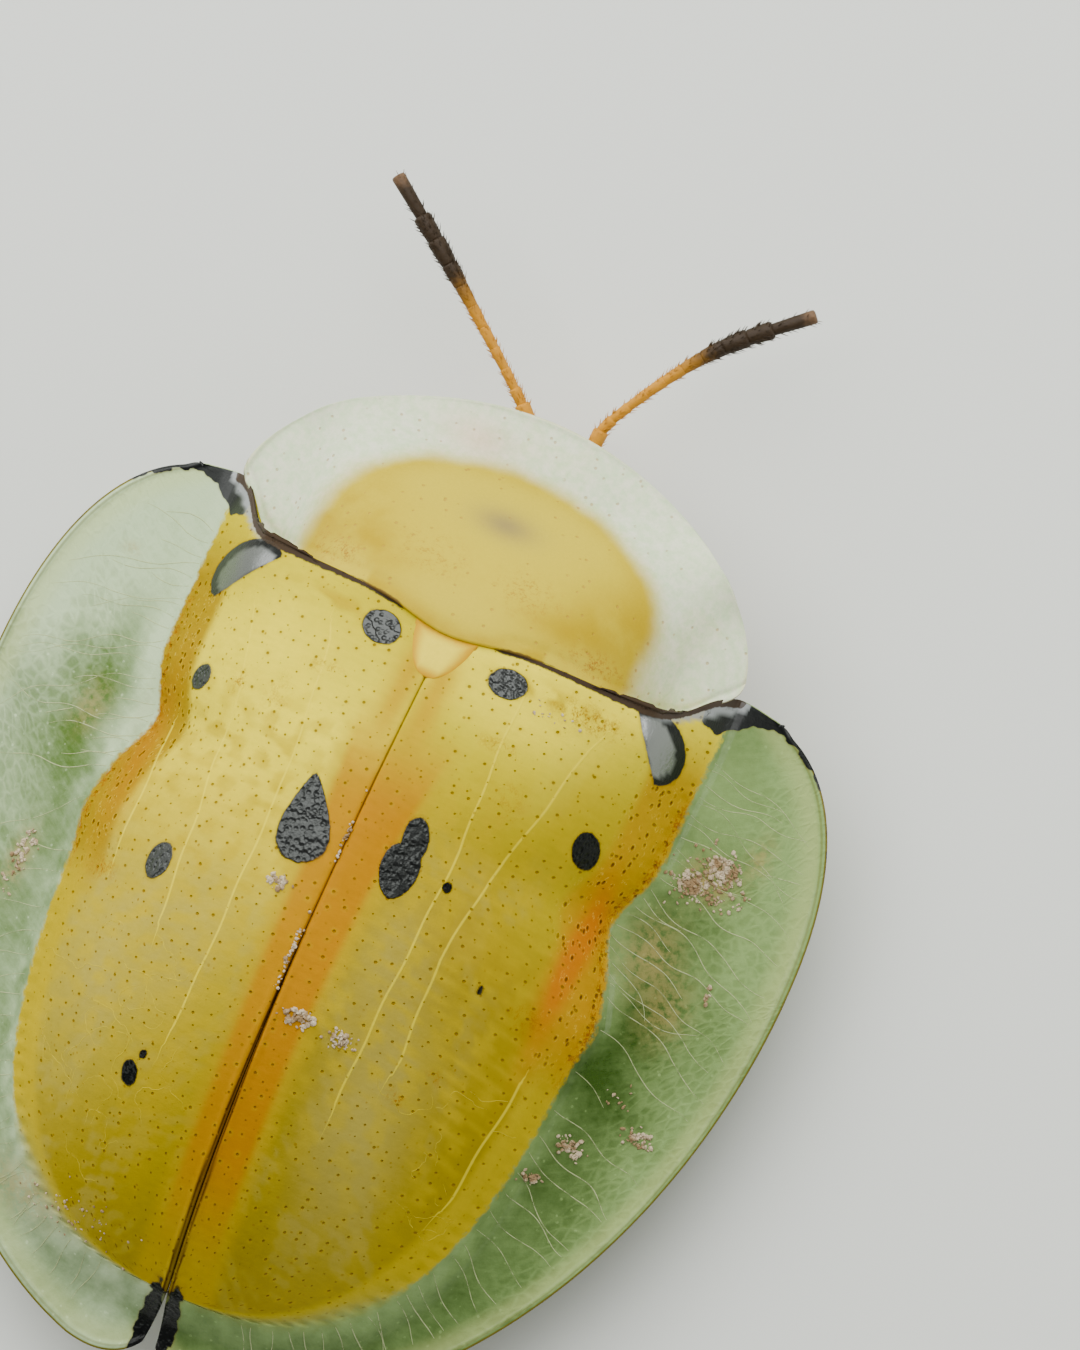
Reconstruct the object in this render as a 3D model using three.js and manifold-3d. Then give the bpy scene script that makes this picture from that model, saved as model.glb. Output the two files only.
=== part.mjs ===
// A spotted tortoise beetle (Aspidimorpha miliaris) at life size, standing on its six feet.
// Two wing cases and a shield over the head flare out into a thin flat brim, which hides the legs from above.
// Millimetres, +Z up. The head points along -Y and the animal's left side is +X.
// While the pieces are shaped, y is counted from the scutellum: ahead of it is negative, behind it is positive.
import * as THREE from "three";
import { mergeVertices } from "three/addons/utils/BufferGeometryUtils.js";
import Module from "manifold-3d";

const wasm = await Module();
wasm.setup();

// Driving dimensions
const BODY_LENGTH = 14.0;
const BODY_WIDTH = 11.76;
const SHELL_THICKNESS = 0.5;
const GAP = 0.3;
const SMALL_GAP = 0.15;
const BRIM_LEVEL = 1.6;
const BELLY_LEVEL = 1.6;
const FLANK_LEVEL = 2.15;

// The brim of the wing cases, seen from above
const SHIELD_REACH = 3.38;
const WIDEST = 2.4;
const BRIM = {
  half: BODY_WIDTH / 2,
  behind: BODY_LENGTH - SHIELD_REACH - WIDEST,
  behindPower: 1.95,
  shoulder: 3.9,
  ahead: 3.37,
  aheadPower: 2.28,
};

// The domed disc of the wing cases. Its side draws in at a waist behind the shoulder and swells at a lobe after it.
const DISC = { half: 3.68, centre: 3.4, behind: 6.0, power: 2.8 };
const WAIST = { y: 2.45, depth: 0.3, long: 0.55 };
const LOBE = { y: 3.9, swell: 0.1, long: 0.45 };
const DOME_HEIGHT = 3.9;
const DISC_RISE = 0.7;
const DOME_FALL = { drop: 0.75, reach: 3.8, power: 2.2 };
const DOME_ROUNDNESS = { rear: 2.4, gain: 0.7 };
const SHOULDER_KNOB = { x: 3.0, y: 0.0, rise: 0.25, wide: 0.45, long: 0.5 };
const FOLD_BLEND = 0.18;

// The shield over the head
const SHIELD = { half: 3.72, centre: -1.0, ahead: SHIELD_REACH - 1.0, power: 1.85 };
const SHIELD_DISC = { half: 2.75, centre: 0.2, ahead: 2.6, rise: 2.1, acrossPower: 3, aheadPower: 1.7 };
const SHIELD_BRIM = 1.3;
const SHIELD_DROOP = 0.3;

// The body under the shell
const SIDE_ROOM = 0.8;
const ABDOMEN = { front: 3.15, reach: 5.15, power: 2.8, plates: 5, step: 0.09 };
const THORAX = { front: -1.9, waist: -0.1, back: 2.85, neckHalf: 1.9 };

// One arm of a superellipse: 1 at share 0, falling to 0 at share 1.
const clamp = (value, low, high) => Math.min(high, Math.max(low, value));
const arm = (share, power) => (1 - clamp(share, 0, 1) ** power) ** (1 / power);
const bump = (value, width) => Math.exp(-((value / width) ** 2));
const smoothMax = (a, b, blend) => 0.5 * (a + b + Math.hypot(a - b, blend));
const smoothMin = (a, b, blend) => -smoothMax(-a, -b, blend);

// The line where the shield meets the wing cases. It bows back at the middle and sweeps forward at the shoulders.
function baseLine(x) {
  const across = Math.abs(x);
  const sweep = 0.74 / (1 + Math.exp(-(across - 3.3) / 0.15));
  return -(0.24 - 0.2 * bump(across, 0.75) + sweep);
}

const discHalf = (y) => DISC.half - WAIST.depth * bump(y - WAIST.y, WAIST.long) + LOBE.swell * bump(y - LOBE.y, LOBE.long);

// How far out a place is: 0 on the middle line and 1 on the disc's border, or on the brim's edge.
function discShare(x, y) {
  const across = Math.abs(x) / discHalf(y);
  const along = Math.max(0, (y - DISC.centre) / DISC.behind);
  return (across ** DISC.power + along ** DISC.power) ** (1 / DISC.power);
}

function brimShare(x, y) {
  const across = Math.abs(x) / BRIM.half;
  const along = Math.max(0, (y - WIDEST) / BRIM.behind);
  return (across ** BRIM.behindPower + along ** BRIM.behindPower) ** (1 / BRIM.behindPower);
}

// Height of the top of the wing cases over the brim's edge.
function wingCaseHeight(x, y) {
  const ahead = clamp((DISC.centre - y) / DOME_FALL.reach, 0, 1.2);
  const crown = DOME_HEIGHT - DOME_FALL.drop * ahead ** DOME_FALL.power;
  const roundness = DOME_ROUNDNESS.rear + DOME_ROUNDNESS.gain * clamp(ahead, 0, 1);
  const dome = DISC_RISE + (crown - DISC_RISE) * (1 - discShare(x, y) ** roundness);
  const inner = DISC.half / BRIM.half;
  const outward = clamp((brimShare(x, y) - inner) / (1 - inner), 0, 1);
  const brim = DISC_RISE * (1 - outward) ** 1.5;
  const knob = SHOULDER_KNOB;
  const callus = knob.rise * bump(Math.abs(x) - knob.x, knob.wide) * bump(y - knob.y, knob.long);
  return smoothMax(dome, brim, FOLD_BLEND) + callus;
}

// Height of the top of the shield over the brim's edge.
function shieldHeight(x, y) {
  const across = clamp(Math.abs(x) / SHIELD_DISC.half, 0, 1.3);
  const ahead = Math.max(0, SHIELD_DISC.centre - y) / SHIELD_DISC.ahead;
  const roof = (1 - across ** SHIELD_DISC.acrossPower) * (1 - ahead ** SHIELD_DISC.aheadPower);
  const forward = Math.max(0, SHIELD.centre - y) / SHIELD.ahead;
  const brim = SHIELD_BRIM - SHIELD_DROOP * ((x / SHIELD.half) ** 2 + forward ** 2);
  return smoothMax(SHIELD_BRIM + SHIELD_DISC.rise * roof, brim, FOLD_BLEND);
}

// A point on a height surface, and the point one thickness under it, square to the surface.
function skinPair(height, x, y, onMiddleLine) {
  const step = 1e-3;
  const slopeX = onMiddleLine ? 0 : (height(x + step, y) - height(x - step, y)) / (2 * step);
  const slopeY = (height(x, y + step) - height(x, y - step)) / (2 * step);
  const normal = new THREE.Vector3(-slopeX, -slopeY, 1).normalize();
  const top = new THREE.Vector3(x, y, BRIM_LEVEL + height(x, y));
  return { top, bottom: top.clone().addScaledVector(normal, -SHELL_THICKNESS) };
}

function geometryOf(points, faces) {
  const geometry = new THREE.BufferGeometry();
  geometry.setAttribute("position", new THREE.Float32BufferAttribute(points.flatMap((p) => p.toArray()), 3));
  geometry.setIndex(faces.flat());
  return geometry;
}

// A closed shell from a grid of point pairs: its top, its underside and the wall round its four sides.
function shellFromGrid(grid) {
  const rows = grid.length;
  const columns = grid[0].length;
  const under = rows * columns;
  const points = [...grid.flat().map((pair) => pair.top), ...grid.flat().map((pair) => pair.bottom)];
  const at = (row, column) => row * columns + column;
  const faces = [];
  for (let row = 0; row + 1 < rows; row++)
    for (let column = 0; column + 1 < columns; column++) {
      const [a, b, c, d] = [at(row, column), at(row + 1, column), at(row + 1, column + 1), at(row, column + 1)];
      faces.push([a, b, c], [a, c, d], [under + a, under + c, under + b], [under + a, under + d, under + c]);
    }
  const border = [];
  for (let row = 0; row + 1 < rows; row++) border.push(at(row, 0));
  for (let column = 0; column + 1 < columns; column++) border.push(at(rows - 1, column));
  for (let row = rows - 1; row > 0; row--) border.push(at(row, columns - 1));
  for (let column = columns - 1; column > 0; column--) border.push(at(0, column));
  border.forEach((a, index) => {
    const b = border[(index + 1) % border.length];
    faces.push([a, under + a, under + b], [a, under + b, b]);
  });
  return geometryOf(points, faces);
}

// A closed body from rings of points along its length, with a flat fan over each end.
function loft(rings) {
  const around = rings[0].length;
  const points = rings.flat();
  const faces = [];
  for (let ring = 0; ring + 1 < rings.length; ring++)
    for (let i = 0; i < around; i++) {
      const [a, b] = [ring * around + i, ring * around + ((i + 1) % around)];
      faces.push([a, b, b + around], [a, b + around, a + around]);
    }
  const middle = (ring) => ring.reduce((sum, p) => sum.add(p), new THREE.Vector3()).divideScalar(around);
  points.push(middle(rings[0]), middle(rings[rings.length - 1]));
  const last = (rings.length - 1) * around;
  for (let i = 0; i < around; i++) {
    const next = (i + 1) % around;
    faces.push([points.length - 2, next, i], [points.length - 1, last + i, last + next]);
  }
  return geometryOf(points, faces);
}

// Solids that are joined or cut. Faces that have shrunk to a line are left out, and the rest point outwards.
function solid(geometry) {
  const bare = geometry.clone();
  bare.deleteAttribute("normal");
  bare.deleteAttribute("uv");
  const merged = mergeVertices(bare, 1e-5);
  const corners = [];
  for (let i = 0; i < merged.index.count; i += 3) {
    const [a, b, c] = merged.index.array.slice(i, i + 3);
    if (a !== b && b !== c && c !== a) corners.push([a, b, c]);
  }
  const make = (faces) =>
    new wasm.Manifold(
      new wasm.Mesh({
        numProp: 3,
        vertProperties: Float32Array.from(merged.attributes.position.array),
        triVerts: Uint32Array.from(faces.flat()),
      }),
    );
  const made = make(corners);
  return made.volume() > 0 ? made : make(corners.map(([a, b, c]) => [a, c, b]));
}

const join = (solids) => solids.reduce((sum, piece) => sum.add(piece));
const mirrored = (whole) => whole.scale([-1, 1, 1]);

function meshOf(name, whole, material) {
  const body = whole.decompose().sort((a, b) => b.volume() - a.volume())[0];
  const { vertProperties, triVerts } = body.getMesh();
  const geometry = new THREE.BufferGeometry();
  geometry.setAttribute("position", new THREE.Float32BufferAttribute(vertProperties, 3));
  geometry.setIndex(new THREE.BufferAttribute(triVerts, 1));
  geometry.computeVertexNormals();
  const mesh = new THREE.Mesh(geometry, material);
  mesh.name = name;
  return mesh;
}

function ellipsoid(centre, radii, sides, turn = 0) {
  const geometry = new THREE.SphereGeometry(1, sides, Math.ceil(sides / 2));
  geometry.rotateX(Math.PI / 2);
  geometry.scale(...radii);
  geometry.rotateZ(turn);
  geometry.translate(...centre);
  return solid(geometry);
}

// A turned piece from a to b. Each [share, radius] is a place along the way and how thick it is there.
function turned(a, b, profile, sides) {
  const from = new THREE.Vector3(...a);
  const way = new THREE.Vector3(...b).sub(from);
  const length = way.length();
  const outline = profile.map(([share, radius]) => new THREE.Vector2(radius, share * length));
  const geometry = new THREE.LatheGeometry(outline, sides);
  geometry.applyQuaternion(new THREE.Quaternion().setFromUnitVectors(new THREE.Vector3(0, 1, 0), way.normalize()));
  geometry.translate(...from);
  return solid(geometry);
}

// A wide level block that cuts away all that is between two heights.
function levelBlock(low, high) {
  const geometry = new THREE.BoxGeometry(3 * BODY_WIDTH, 3 * BODY_LENGTH, high - low);
  geometry.translate(0, 0, (low + high) / 2);
  return solid(geometry);
}

// Wing cases. A turn of -1 is the front corner, 0 the widest place and 1 the tip.
function brimEdge(turn) {
  const angle = (Math.abs(turn) * Math.PI) / 2;
  if (turn < 0) {
    const flare = (BRIM.half - BRIM.shoulder) * Math.cos(angle) ** (2 / BRIM.aheadPower);
    return [BRIM.shoulder + flare, WIDEST - BRIM.ahead * Math.sin(angle) ** (2 / BRIM.aheadPower)];
  }
  const across = BRIM.half * Math.cos(angle) ** (2 / BRIM.behindPower);
  return [across, WIDEST + BRIM.behind * Math.sin(angle) ** (2 / BRIM.behindPower)];
}

function discEdge(turn) {
  if (turn < 0) {
    const y = DISC.centre + turn * (DISC.centre - baseLine(DISC.half) - GAP / 2);
    return [discHalf(y), y];
  }
  const angle = (turn * Math.PI) / 2;
  const y = DISC.centre + DISC.behind * Math.sin(angle) ** (2 / DISC.power);
  return [discHalf(y) * Math.cos(angle) ** (2 / DISC.power), y];
}

const SEAM = GAP / 2;
const FRONT_ROWS = 11;
const REAR_ROWS = 20;
const CORNER_TURN = 0.9;
const TIP_TURN = 0.94;
const TIP_NOTCH = 0.3;
const DISC_COLUMNS = [0, 0.16, 0.34, 0.52, 0.68, 0.82, 0.93, 1];
const BRIM_COLUMNS = [0.12, 0.35, 0.68, 1];

// One wing case: rows run from the seam to the disc's border and on to the brim's edge.
function wingCaseGrid() {
  const front = baseLine(SEAM) + GAP / 2;
  const rear = DISC.centre + DISC.behind;
  const tip = [SEAM, brimEdge(TIP_TURN)[1] - TIP_NOTCH];
  const rows = [];
  const addRow = (seam, border, edge, bendShare) => {
    const between = (from, to, share) => from.map((value, axis) => value + (to[axis] - value) * share);
    const bent = ([x, y]) => {
      const straight = seam[1] + ((edge[1] - seam[1]) * (x - SEAM)) / (edge[0] - SEAM);
      return [x, y + bendShare * (baseLine(x) + GAP / 2 - straight)];
    };
    const places = [
      ...DISC_COLUMNS.map((share) => between(seam, border, share)),
      ...BRIM_COLUMNS.map((share) => between(border, edge, share)),
    ].map((place) => (bendShare > 0 ? bent(place) : place));
    rows.push(places.map(([x, y], index) => skinPair(wingCaseHeight, x, y, index === 0)));
  };
  for (let i = 0; i < FRONT_ROWS; i++) {
    const turn = i / FRONT_ROWS - 1;
    const seam = [SEAM, front + (WIDEST + 1 - front) * (1 + turn)];
    const edge = brimEdge(turn * CORNER_TURN);
    addRow(seam, i === 0 ? [DISC.half, edge[1]] : discEdge(turn), edge, i === 0 ? 1 : 0);
  }
  for (let i = 0; i < REAR_ROWS; i++) {
    const turn = i / REAR_ROWS;
    const seam = [SEAM, WIDEST + 1 + (rear - WIDEST - 1) * Math.sin((turn * Math.PI) / 2)];
    addRow(seam, discEdge(turn), brimEdge(turn * TIP_TURN), 0);
  }
  addRow([SEAM, rear], [SEAM, rear], tip, 0);
  return rows;
}

// The scutellum, a small triangle between the roots of the wing cases
const SCUTELLUM = { half: 0.5, front: -0.02, tip: 0.85, thickness: SHELL_THICKNESS };

// Its outline grown by a margin, as a block that follows the slope of the back.
function scutellumBlock(margin, above, below) {
  const { half, front, tip } = SCUTELLUM;
  const [corner, side, end] = [half + margin * 1.3, half * 0.5 + margin, margin * 0.4];
  const outline = new THREE.Shape();
  outline.moveTo(-corner, front - margin);
  outline.lineTo(corner, front - margin);
  outline.quadraticCurveTo(side, tip * 0.45, end, tip + margin);
  outline.lineTo(-end, tip + margin);
  outline.quadraticCurveTo(-side, tip * 0.45, -corner, front - margin);
  const geometry = new THREE.ExtrudeGeometry(outline, { depth: above + below, bevelEnabled: false, curveSegments: 5 });
  const height = wingCaseHeight(0, front);
  const slope = Math.atan((wingCaseHeight(0, tip) - height) / (tip - front));
  geometry.translate(0, -front, -below);
  geometry.rotateX(slope);
  geometry.translate(0, front, BRIM_LEVEL + height);
  return solid(geometry);
}

const wingCase = () => solid(shellFromGrid(wingCaseGrid())).subtract(scutellumBlock(SMALL_GAP, 1, 1.5));

// Shield: columns run from its front edge back to the base line.
const SHIELD_COLUMNS = 30;
const SHIELD_ROWS = 9;
const SHIELD_END = 0.98;
const SHOULDER_ROOM = { x: 3.2, wide: 0.45, extra: 0.22 };

function shieldGrid() {
  const columns = [];
  for (let i = 0; i <= SHIELD_COLUMNS; i++) {
    const x = -SHIELD.half * SHIELD_END * Math.cos((i / SHIELD_COLUMNS) * Math.PI);
    const front = SHIELD.centre - SHIELD.ahead * arm(Math.abs(x) / SHIELD.half, SHIELD.power);
    const room = SHOULDER_ROOM.extra * bump(Math.abs(x) - SHOULDER_ROOM.x, SHOULDER_ROOM.wide);
    const back = baseLine(x) - GAP / 2 - room;
    const column = [];
    for (let j = 0; j <= SHIELD_ROWS; j++) column.push(skinPair(shieldHeight, x, front + ((back - front) * j) / SHIELD_ROWS, false));
    columns.push(column);
  }
  return columns;
}

// Body. A cross-section is widest at the flank's level, with an arched back and a flatter belly.
const SECTION_SIDES = 24;
const bodyHalf = (y) => discHalf(y) - SIDE_ROOM;

function section(y, half, top, bottom, roundness) {
  const ring = [];
  for (let i = 0; i < SECTION_SIDES; i++) {
    const angle = (2 * Math.PI * i) / SECTION_SIDES;
    const across = Math.cos(angle);
    const reach = (Math.sin(angle) >= 0 ? top : bottom) - FLANK_LEVEL;
    ring.push(new THREE.Vector3(half * across, y, FLANK_LEVEL + reach * (1 - Math.abs(across) ** roundness)));
  }
  return ring;
}

const UNDER_SHELL = SHELL_THICKNESS + GAP;

// The abdomen's belly is five overlapping plates, each with a small step at its rear edge.
function abdomen() {
  const crown = BRIM_LEVEL + DOME_HEIGHT - UNDER_SHELL;
  const rings = [];
  const addRing = (share, step) => {
    const along = Math.sin((share * Math.PI) / 2);
    const y = ABDOMEN.front + ABDOMEN.reach * along;
    const half = Math.max(0.3, bodyHalf(y) * arm(along, ABDOMEN.power));
    const top = FLANK_LEVEL + (crown - FLANK_LEVEL) * (1 - along ** 2.4) + 0.06;
    const bottom = BELLY_LEVEL + step + (FLANK_LEVEL - BELLY_LEVEL - 0.15) * along ** 4;
    rings.push(section(y, half, top, bottom, 2.4));
  };
  for (let plate = 0; plate < ABDOMEN.plates; plate++) {
    addRing(plate / ABDOMEN.plates, ABDOMEN.step);
    addRing((plate + 0.88) / ABDOMEN.plates, 0);
  }
  addRing(0.985, ABDOMEN.step / 2);
  return solid(loft(rings));
}

// The thorax narrows to a neck in front and has a crease where its front ring meets the part that carries the wings.
function thorax() {
  const rings = [];
  const cover = (y) => (y < 0 ? smoothMin(wingCaseHeight(0, THORAX.waist), shieldHeight(0, y), 0.05) : wingCaseHeight(0, y));
  const addRing = (y, creased) => {
    const neck = clamp((THORAX.waist - y) / (THORAX.waist - THORAX.front), 0, 1);
    const half = bodyHalf(y) + (THORAX.neckHalf - bodyHalf(y)) * neck ** 1.3 - creased;
    const top = BRIM_LEVEL + cover(y) - UNDER_SHELL - 0.08 - creased;
    rings.push(section(y, half, top, BELLY_LEVEL + creased, 2.6));
  };
  const places = [THORAX.front, -1.4, -0.9, -0.4, THORAX.waist, 0.2, 0.8, 1.4, 1.9, 2.4, THORAX.back];
  for (const y of places) addRing(y, y === THORAX.waist ? 0.2 : 0);
  const keels = [
    ellipsoid([0, -1.0, BELLY_LEVEL], [0.3, 0.85, 0.32], 12),
    ellipsoid([0, 1.7, BELLY_LEVEL], [0.34, 1.05, 0.3], 12),
  ];
  return join([solid(loft(rings)), ...keels]);
}

// Antennae: eleven segments on a curve, the last three thicker.
const SEGMENT_LENGTHS = [0.52, 0.26, 0.34, 0.36, 0.36, 0.36, 0.36, 0.38, 0.42, 0.42, 0.72];
const CLUB_SEGMENTS = 3;
const SHAFT_RADIUS = 0.22;
const CLUB_RADIUS = 0.26;
const ANTENNAE = {
  left: [[0.42, -3.36, 1.52], [1.0, -3.72, 1.62], [2.34, -4.76, 1.85], [3.55, -5.62, 1.95]],
  right: [[-0.36, -3.4, 1.52], [-0.46, -3.8, 1.62], [-1.34, -5.18, 1.85], [-2.43, -6.2, 1.95]],
};

function antenna(route) {
  const curve = new THREE.CatmullRomCurve3(route.map((place) => new THREE.Vector3(...place)));
  const total = SEGMENT_LENGTHS.reduce((sum, length) => sum + length);
  const last = SEGMENT_LENGTHS.length - 1;
  let walked = 0;
  const pieces = SEGMENT_LENGTHS.map((length, index) => {
    const from = curve.getPointAt(walked / total);
    walked += length;
    const to = curve.getPointAt(Math.min(1, walked / total));
    const radius = index > last - CLUB_SEGMENTS ? CLUB_RADIUS : SHAFT_RADIUS;
    const root = [[-0.1, 0], [-0.1, radius * 0.75]];
    const tip = index === last ? [[0.25, radius], [0.7, radius * 0.7], [1, 0]] : [[0.7, radius], [1, radius * 0.86], [1.02, 0]];
    return turned(from.toArray(), to.toArray(), [...root, ...tip], 8);
  });
  return join(pieces);
}

// Head: a small capsule that bends down under the shield, with its mouth below and a socket for each antenna.
const HEAD = { centre: [0, -2.72, 1.3], radii: [0.86, 0.5, 0.58] };
const EYE = { x: 0.84, y: -2.76, z: 1.36, radii: [0.42, 0.42, 0.5] };

function head() {
  const [x, y, z] = HEAD.centre;
  const neckProfile = [[0, 0], [0, 0.42], [1, 0.42], [1, 0]];
  const jawProfile = [[-0.1, 0], [0, 0.13], [0.6, 0.15], [1, 0]];
  const pieces = [
    ellipsoid(HEAD.centre, HEAD.radii, 16),
    turned([x, y, z + 0.05], [x, THORAX.front - GAP, z + 0.25], neckProfile, 12),
    ellipsoid([x, y - 0.26, z - 0.26], [0.5, 0.3, 0.34], 12),
    ellipsoid([x, y - 0.24, z - 0.58], [0.3, 0.22, 0.16], 10),
  ];
  for (const side of [-1, 1])
    pieces.push(turned([side * 0.34, y - 0.14, z - 0.42], [side * 0.5, y - 0.36, z - 0.86], jawProfile, 7));
  for (const route of Object.values(ANTENNAE)) {
    const root = new THREE.Vector3(...route[0]);
    const back = new THREE.Vector3(...route[1]).sub(root).normalize();
    const end = root.clone().addScaledVector(back, -GAP).toArray();
    const start = root.clone().addScaledVector(back, -2.4 * GAP).toArray();
    pieces.push(turned(start, end, [[0, 0], [0, 0.25], [1, 0.2], [1, 0]], 9));
  }
  return join(pieces);
}

function eye(side) {
  const socket = ellipsoid(HEAD.centre, HEAD.radii.map((radius) => radius + SMALL_GAP), 16);
  return ellipsoid([side * EYE.x, EYE.y, EYE.z], EYE.radii, 14).subtract(socket);
}

// Legs: coxa, thigh, shin, three broad pads and a claw joint with two claws.
const LEGS = {
  front: { coxa: [0.85, -1.2], knee: [2.2, -0.85], ankle: [2.7, -1.55], toe: [3.0, -2.3] },
  middle: { coxa: [1.05, 1.0], knee: [2.7, 1.2], ankle: [3.3, 2.15], toe: [3.8, 2.95] },
  hind: { coxa: [1.1, 2.4], knee: [2.9, 3.9], ankle: [3.4, 5.3], toe: [3.75, 6.2] },
};
const COXA = { radii: [0.42, 0.4, 0.36], level: 1.14 };
const HIP_LEVEL = 1.02;
const KNEE_LEVEL = 1.08;
const ANKLE_LEVEL = 0.36;
const PAD = { half: 0.27, long: 0.23, high: 0.19, level: 0.13 };
const PAD_SHARES = [0.14, 0.36, 0.6];
const THIGH = [[-0.06, 0], [0, 0.2], [0.3, 0.3], [0.7, 0.28], [1, 0.24], [1.06, 0]];
const SHIN = [[-0.12, 0], [-0.02, 0.23], [0.5, 0.25], [0.95, 0.26], [1.08, 0]];
const CLAW_JOINT = [[0, 0], [0, 0.09], [0.8, 0.13], [1.05, 0]];
const CLAW = [[-0.1, 0], [0, 0.08], [0.5, 0.06], [1, 0]];

function leg(plan, side) {
  const place = ([x, y], level) => [side * x, y, level];
  const heel = new THREE.Vector3(...place(plan.ankle, 0));
  const way = new THREE.Vector3(...place(plan.toe, 0)).sub(heel);
  const along = way.clone().normalize();
  const across = new THREE.Vector3(along.y, -along.x, 0);
  const onFoot = (share, sideways, level) =>
    heel.clone().addScaledVector(way, share).addScaledVector(across, sideways).setZ(level).toArray();
  const heading = Math.atan2(way.y, way.x) - Math.PI / 2;
  const pieces = [
    ellipsoid(place(plan.coxa, COXA.level), COXA.radii, 12),
    turned(place(plan.coxa, HIP_LEVEL), place(plan.knee, KNEE_LEVEL), THIGH, 8),
    turned(place(plan.knee, KNEE_LEVEL), place(plan.ankle, ANKLE_LEVEL), SHIN, 8),
    turned(onFoot(0.6, 0, 0.2), onFoot(0.98, 0, 0.2), CLAW_JOINT, 7),
  ];
  PAD_SHARES.forEach((share, index) => {
    const half = PAD.half * (1 + 0.12 * index);
    pieces.push(ellipsoid(onFoot(share, 0, PAD.level), [half, PAD.long, PAD.high], 8, heading));
  });
  for (const spread of [-1, 1])
    pieces.push(turned(onFoot(0.9, spread * 0.03, 0.18), onFoot(1.12, spread * 0.2, 0.08), CLAW, 5));
  return join(pieces).subtract(levelBlock(-1, 0)).subtract(levelBlock(BELLY_LEVEL - GAP, 3));
}

// Colours
const finish = (color, roughness) => new THREE.MeshStandardMaterial({ color, roughness, metalness: 0 });
const shellYellow = finish(0xe8c53a, 0.25);
const shieldCream = finish(0xe9dca4, 0.3);
const limbAmber = finish(0xd9932b, 0.45);
const bellyBrown = finish(0xb9862f, 0.5);
const eyeBlack = finish(0x171310, 0.15);

const beetle = new THREE.Group();
const leftCase = wingCase();
beetle.add(meshOf("elytron_left", leftCase, shellYellow));
beetle.add(meshOf("elytron_right", mirrored(leftCase), shellYellow));
beetle.add(meshOf("scutellum", scutellumBlock(0, 0, SCUTELLUM.thickness), shellYellow));
beetle.add(meshOf("pronotum", solid(shellFromGrid(shieldGrid())), shieldCream));
beetle.add(meshOf("thorax", thorax(), bellyBrown));
beetle.add(meshOf("abdomen", abdomen(), bellyBrown));
beetle.add(meshOf("head", head(), limbAmber));
for (const [sideName, side] of [["left", 1], ["right", -1]]) {
  beetle.add(meshOf(`eye_${sideName}`, eye(side), eyeBlack));
  beetle.add(meshOf(`antenna_${sideName}`, antenna(ANTENNAE[sideName]), limbAmber));
  for (const [place, plan] of Object.entries(LEGS))
    beetle.add(meshOf(`leg_${place}_${sideName}`, leg(plan, side), limbAmber));
}

// The origin is on the floor, under the middle of the whole animal.
const box = new THREE.Box3().setFromObject(beetle);
beetle.position.y = -(box.min.y + box.max.y) / 2;

export default beetle;
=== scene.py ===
import math

import bpy
import numpy as np
from mathutils import Matrix, Vector


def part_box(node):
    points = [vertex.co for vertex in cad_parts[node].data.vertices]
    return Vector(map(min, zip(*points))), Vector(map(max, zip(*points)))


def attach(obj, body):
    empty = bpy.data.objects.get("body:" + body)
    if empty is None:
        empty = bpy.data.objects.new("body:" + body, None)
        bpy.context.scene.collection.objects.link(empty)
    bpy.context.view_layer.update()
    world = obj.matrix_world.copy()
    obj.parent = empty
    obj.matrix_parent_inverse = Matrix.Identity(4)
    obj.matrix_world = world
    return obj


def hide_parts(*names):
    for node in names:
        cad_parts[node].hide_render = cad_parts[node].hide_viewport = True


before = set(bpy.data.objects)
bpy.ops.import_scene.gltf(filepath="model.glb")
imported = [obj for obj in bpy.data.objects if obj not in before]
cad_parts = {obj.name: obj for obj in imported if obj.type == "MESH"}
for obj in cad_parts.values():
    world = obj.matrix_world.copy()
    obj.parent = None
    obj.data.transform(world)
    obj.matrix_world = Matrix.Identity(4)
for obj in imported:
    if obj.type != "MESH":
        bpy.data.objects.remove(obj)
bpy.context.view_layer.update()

# Wing cases
# The two hardened fore wings, thin plates of chitin that lock along the back and hinge at the thorax.
# Each is one piece: a domed, pitted disc that folds out into a clear brim, with black spots in the shell.
MM = 0.001
SHIELD_REACH = 3.38
BACK_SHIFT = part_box("pronotum")[0].y / MM + SHIELD_REACH
BRIM_LEVEL = 1.6
WIDEST = 2.4
BRIM = {
    "half": 5.88,
    "behind": 8.22,
    "behind_power": 1.95,
    "shoulder": 3.9,
    "ahead": 3.37,
    "ahead_power": 2.28,
}
DISC = {"half": 3.68, "centre": 3.4, "behind": 6.0, "power": 2.8}
DISC_RISE = 0.7
DOME = {"height": 3.9, "fall": 0.75, "fall_reach": 3.8, "fall_power": 2.2, "power": 2.4}
SHOULDER_BUMP = {"height": 0.25, "x": 3.0, "wide": 0.45, "long": 0.5}
FOLD_BLEND = 0.18
SHIELD_HALF = 3.72
SHIELD_FRONT = {"y": -1.0, "reach": 2.38, "power": 1.85}
SHIELD_DOME = {"half": 2.75, "height": 2.1, "front": 0.2, "long": 2.6, "power": 1.7}
SHIELD_RISE = 1.3
WAIST = {"deep": 0.3, "y": 2.45, "long": 0.55}
LOBE = {"wide": 0.1, "y": 3.9, "long": 0.45}
ROOT = {"ahead": 0.24, "dent": 0.2, "dent_half": 0.75, "corner": 0.74, "corner_x": 3.3, "corner_blend": 0.15}
SEAM = 0.005
SEAM_MIDDLE = 3.4
BASE_GAP = 0.018
CORNER_TURN = 0.9
CORNER = 4.29
TIP_TURN = 0.94
TIP_START = 0.93
TIP_BEND = (0.407, 10.61)
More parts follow.
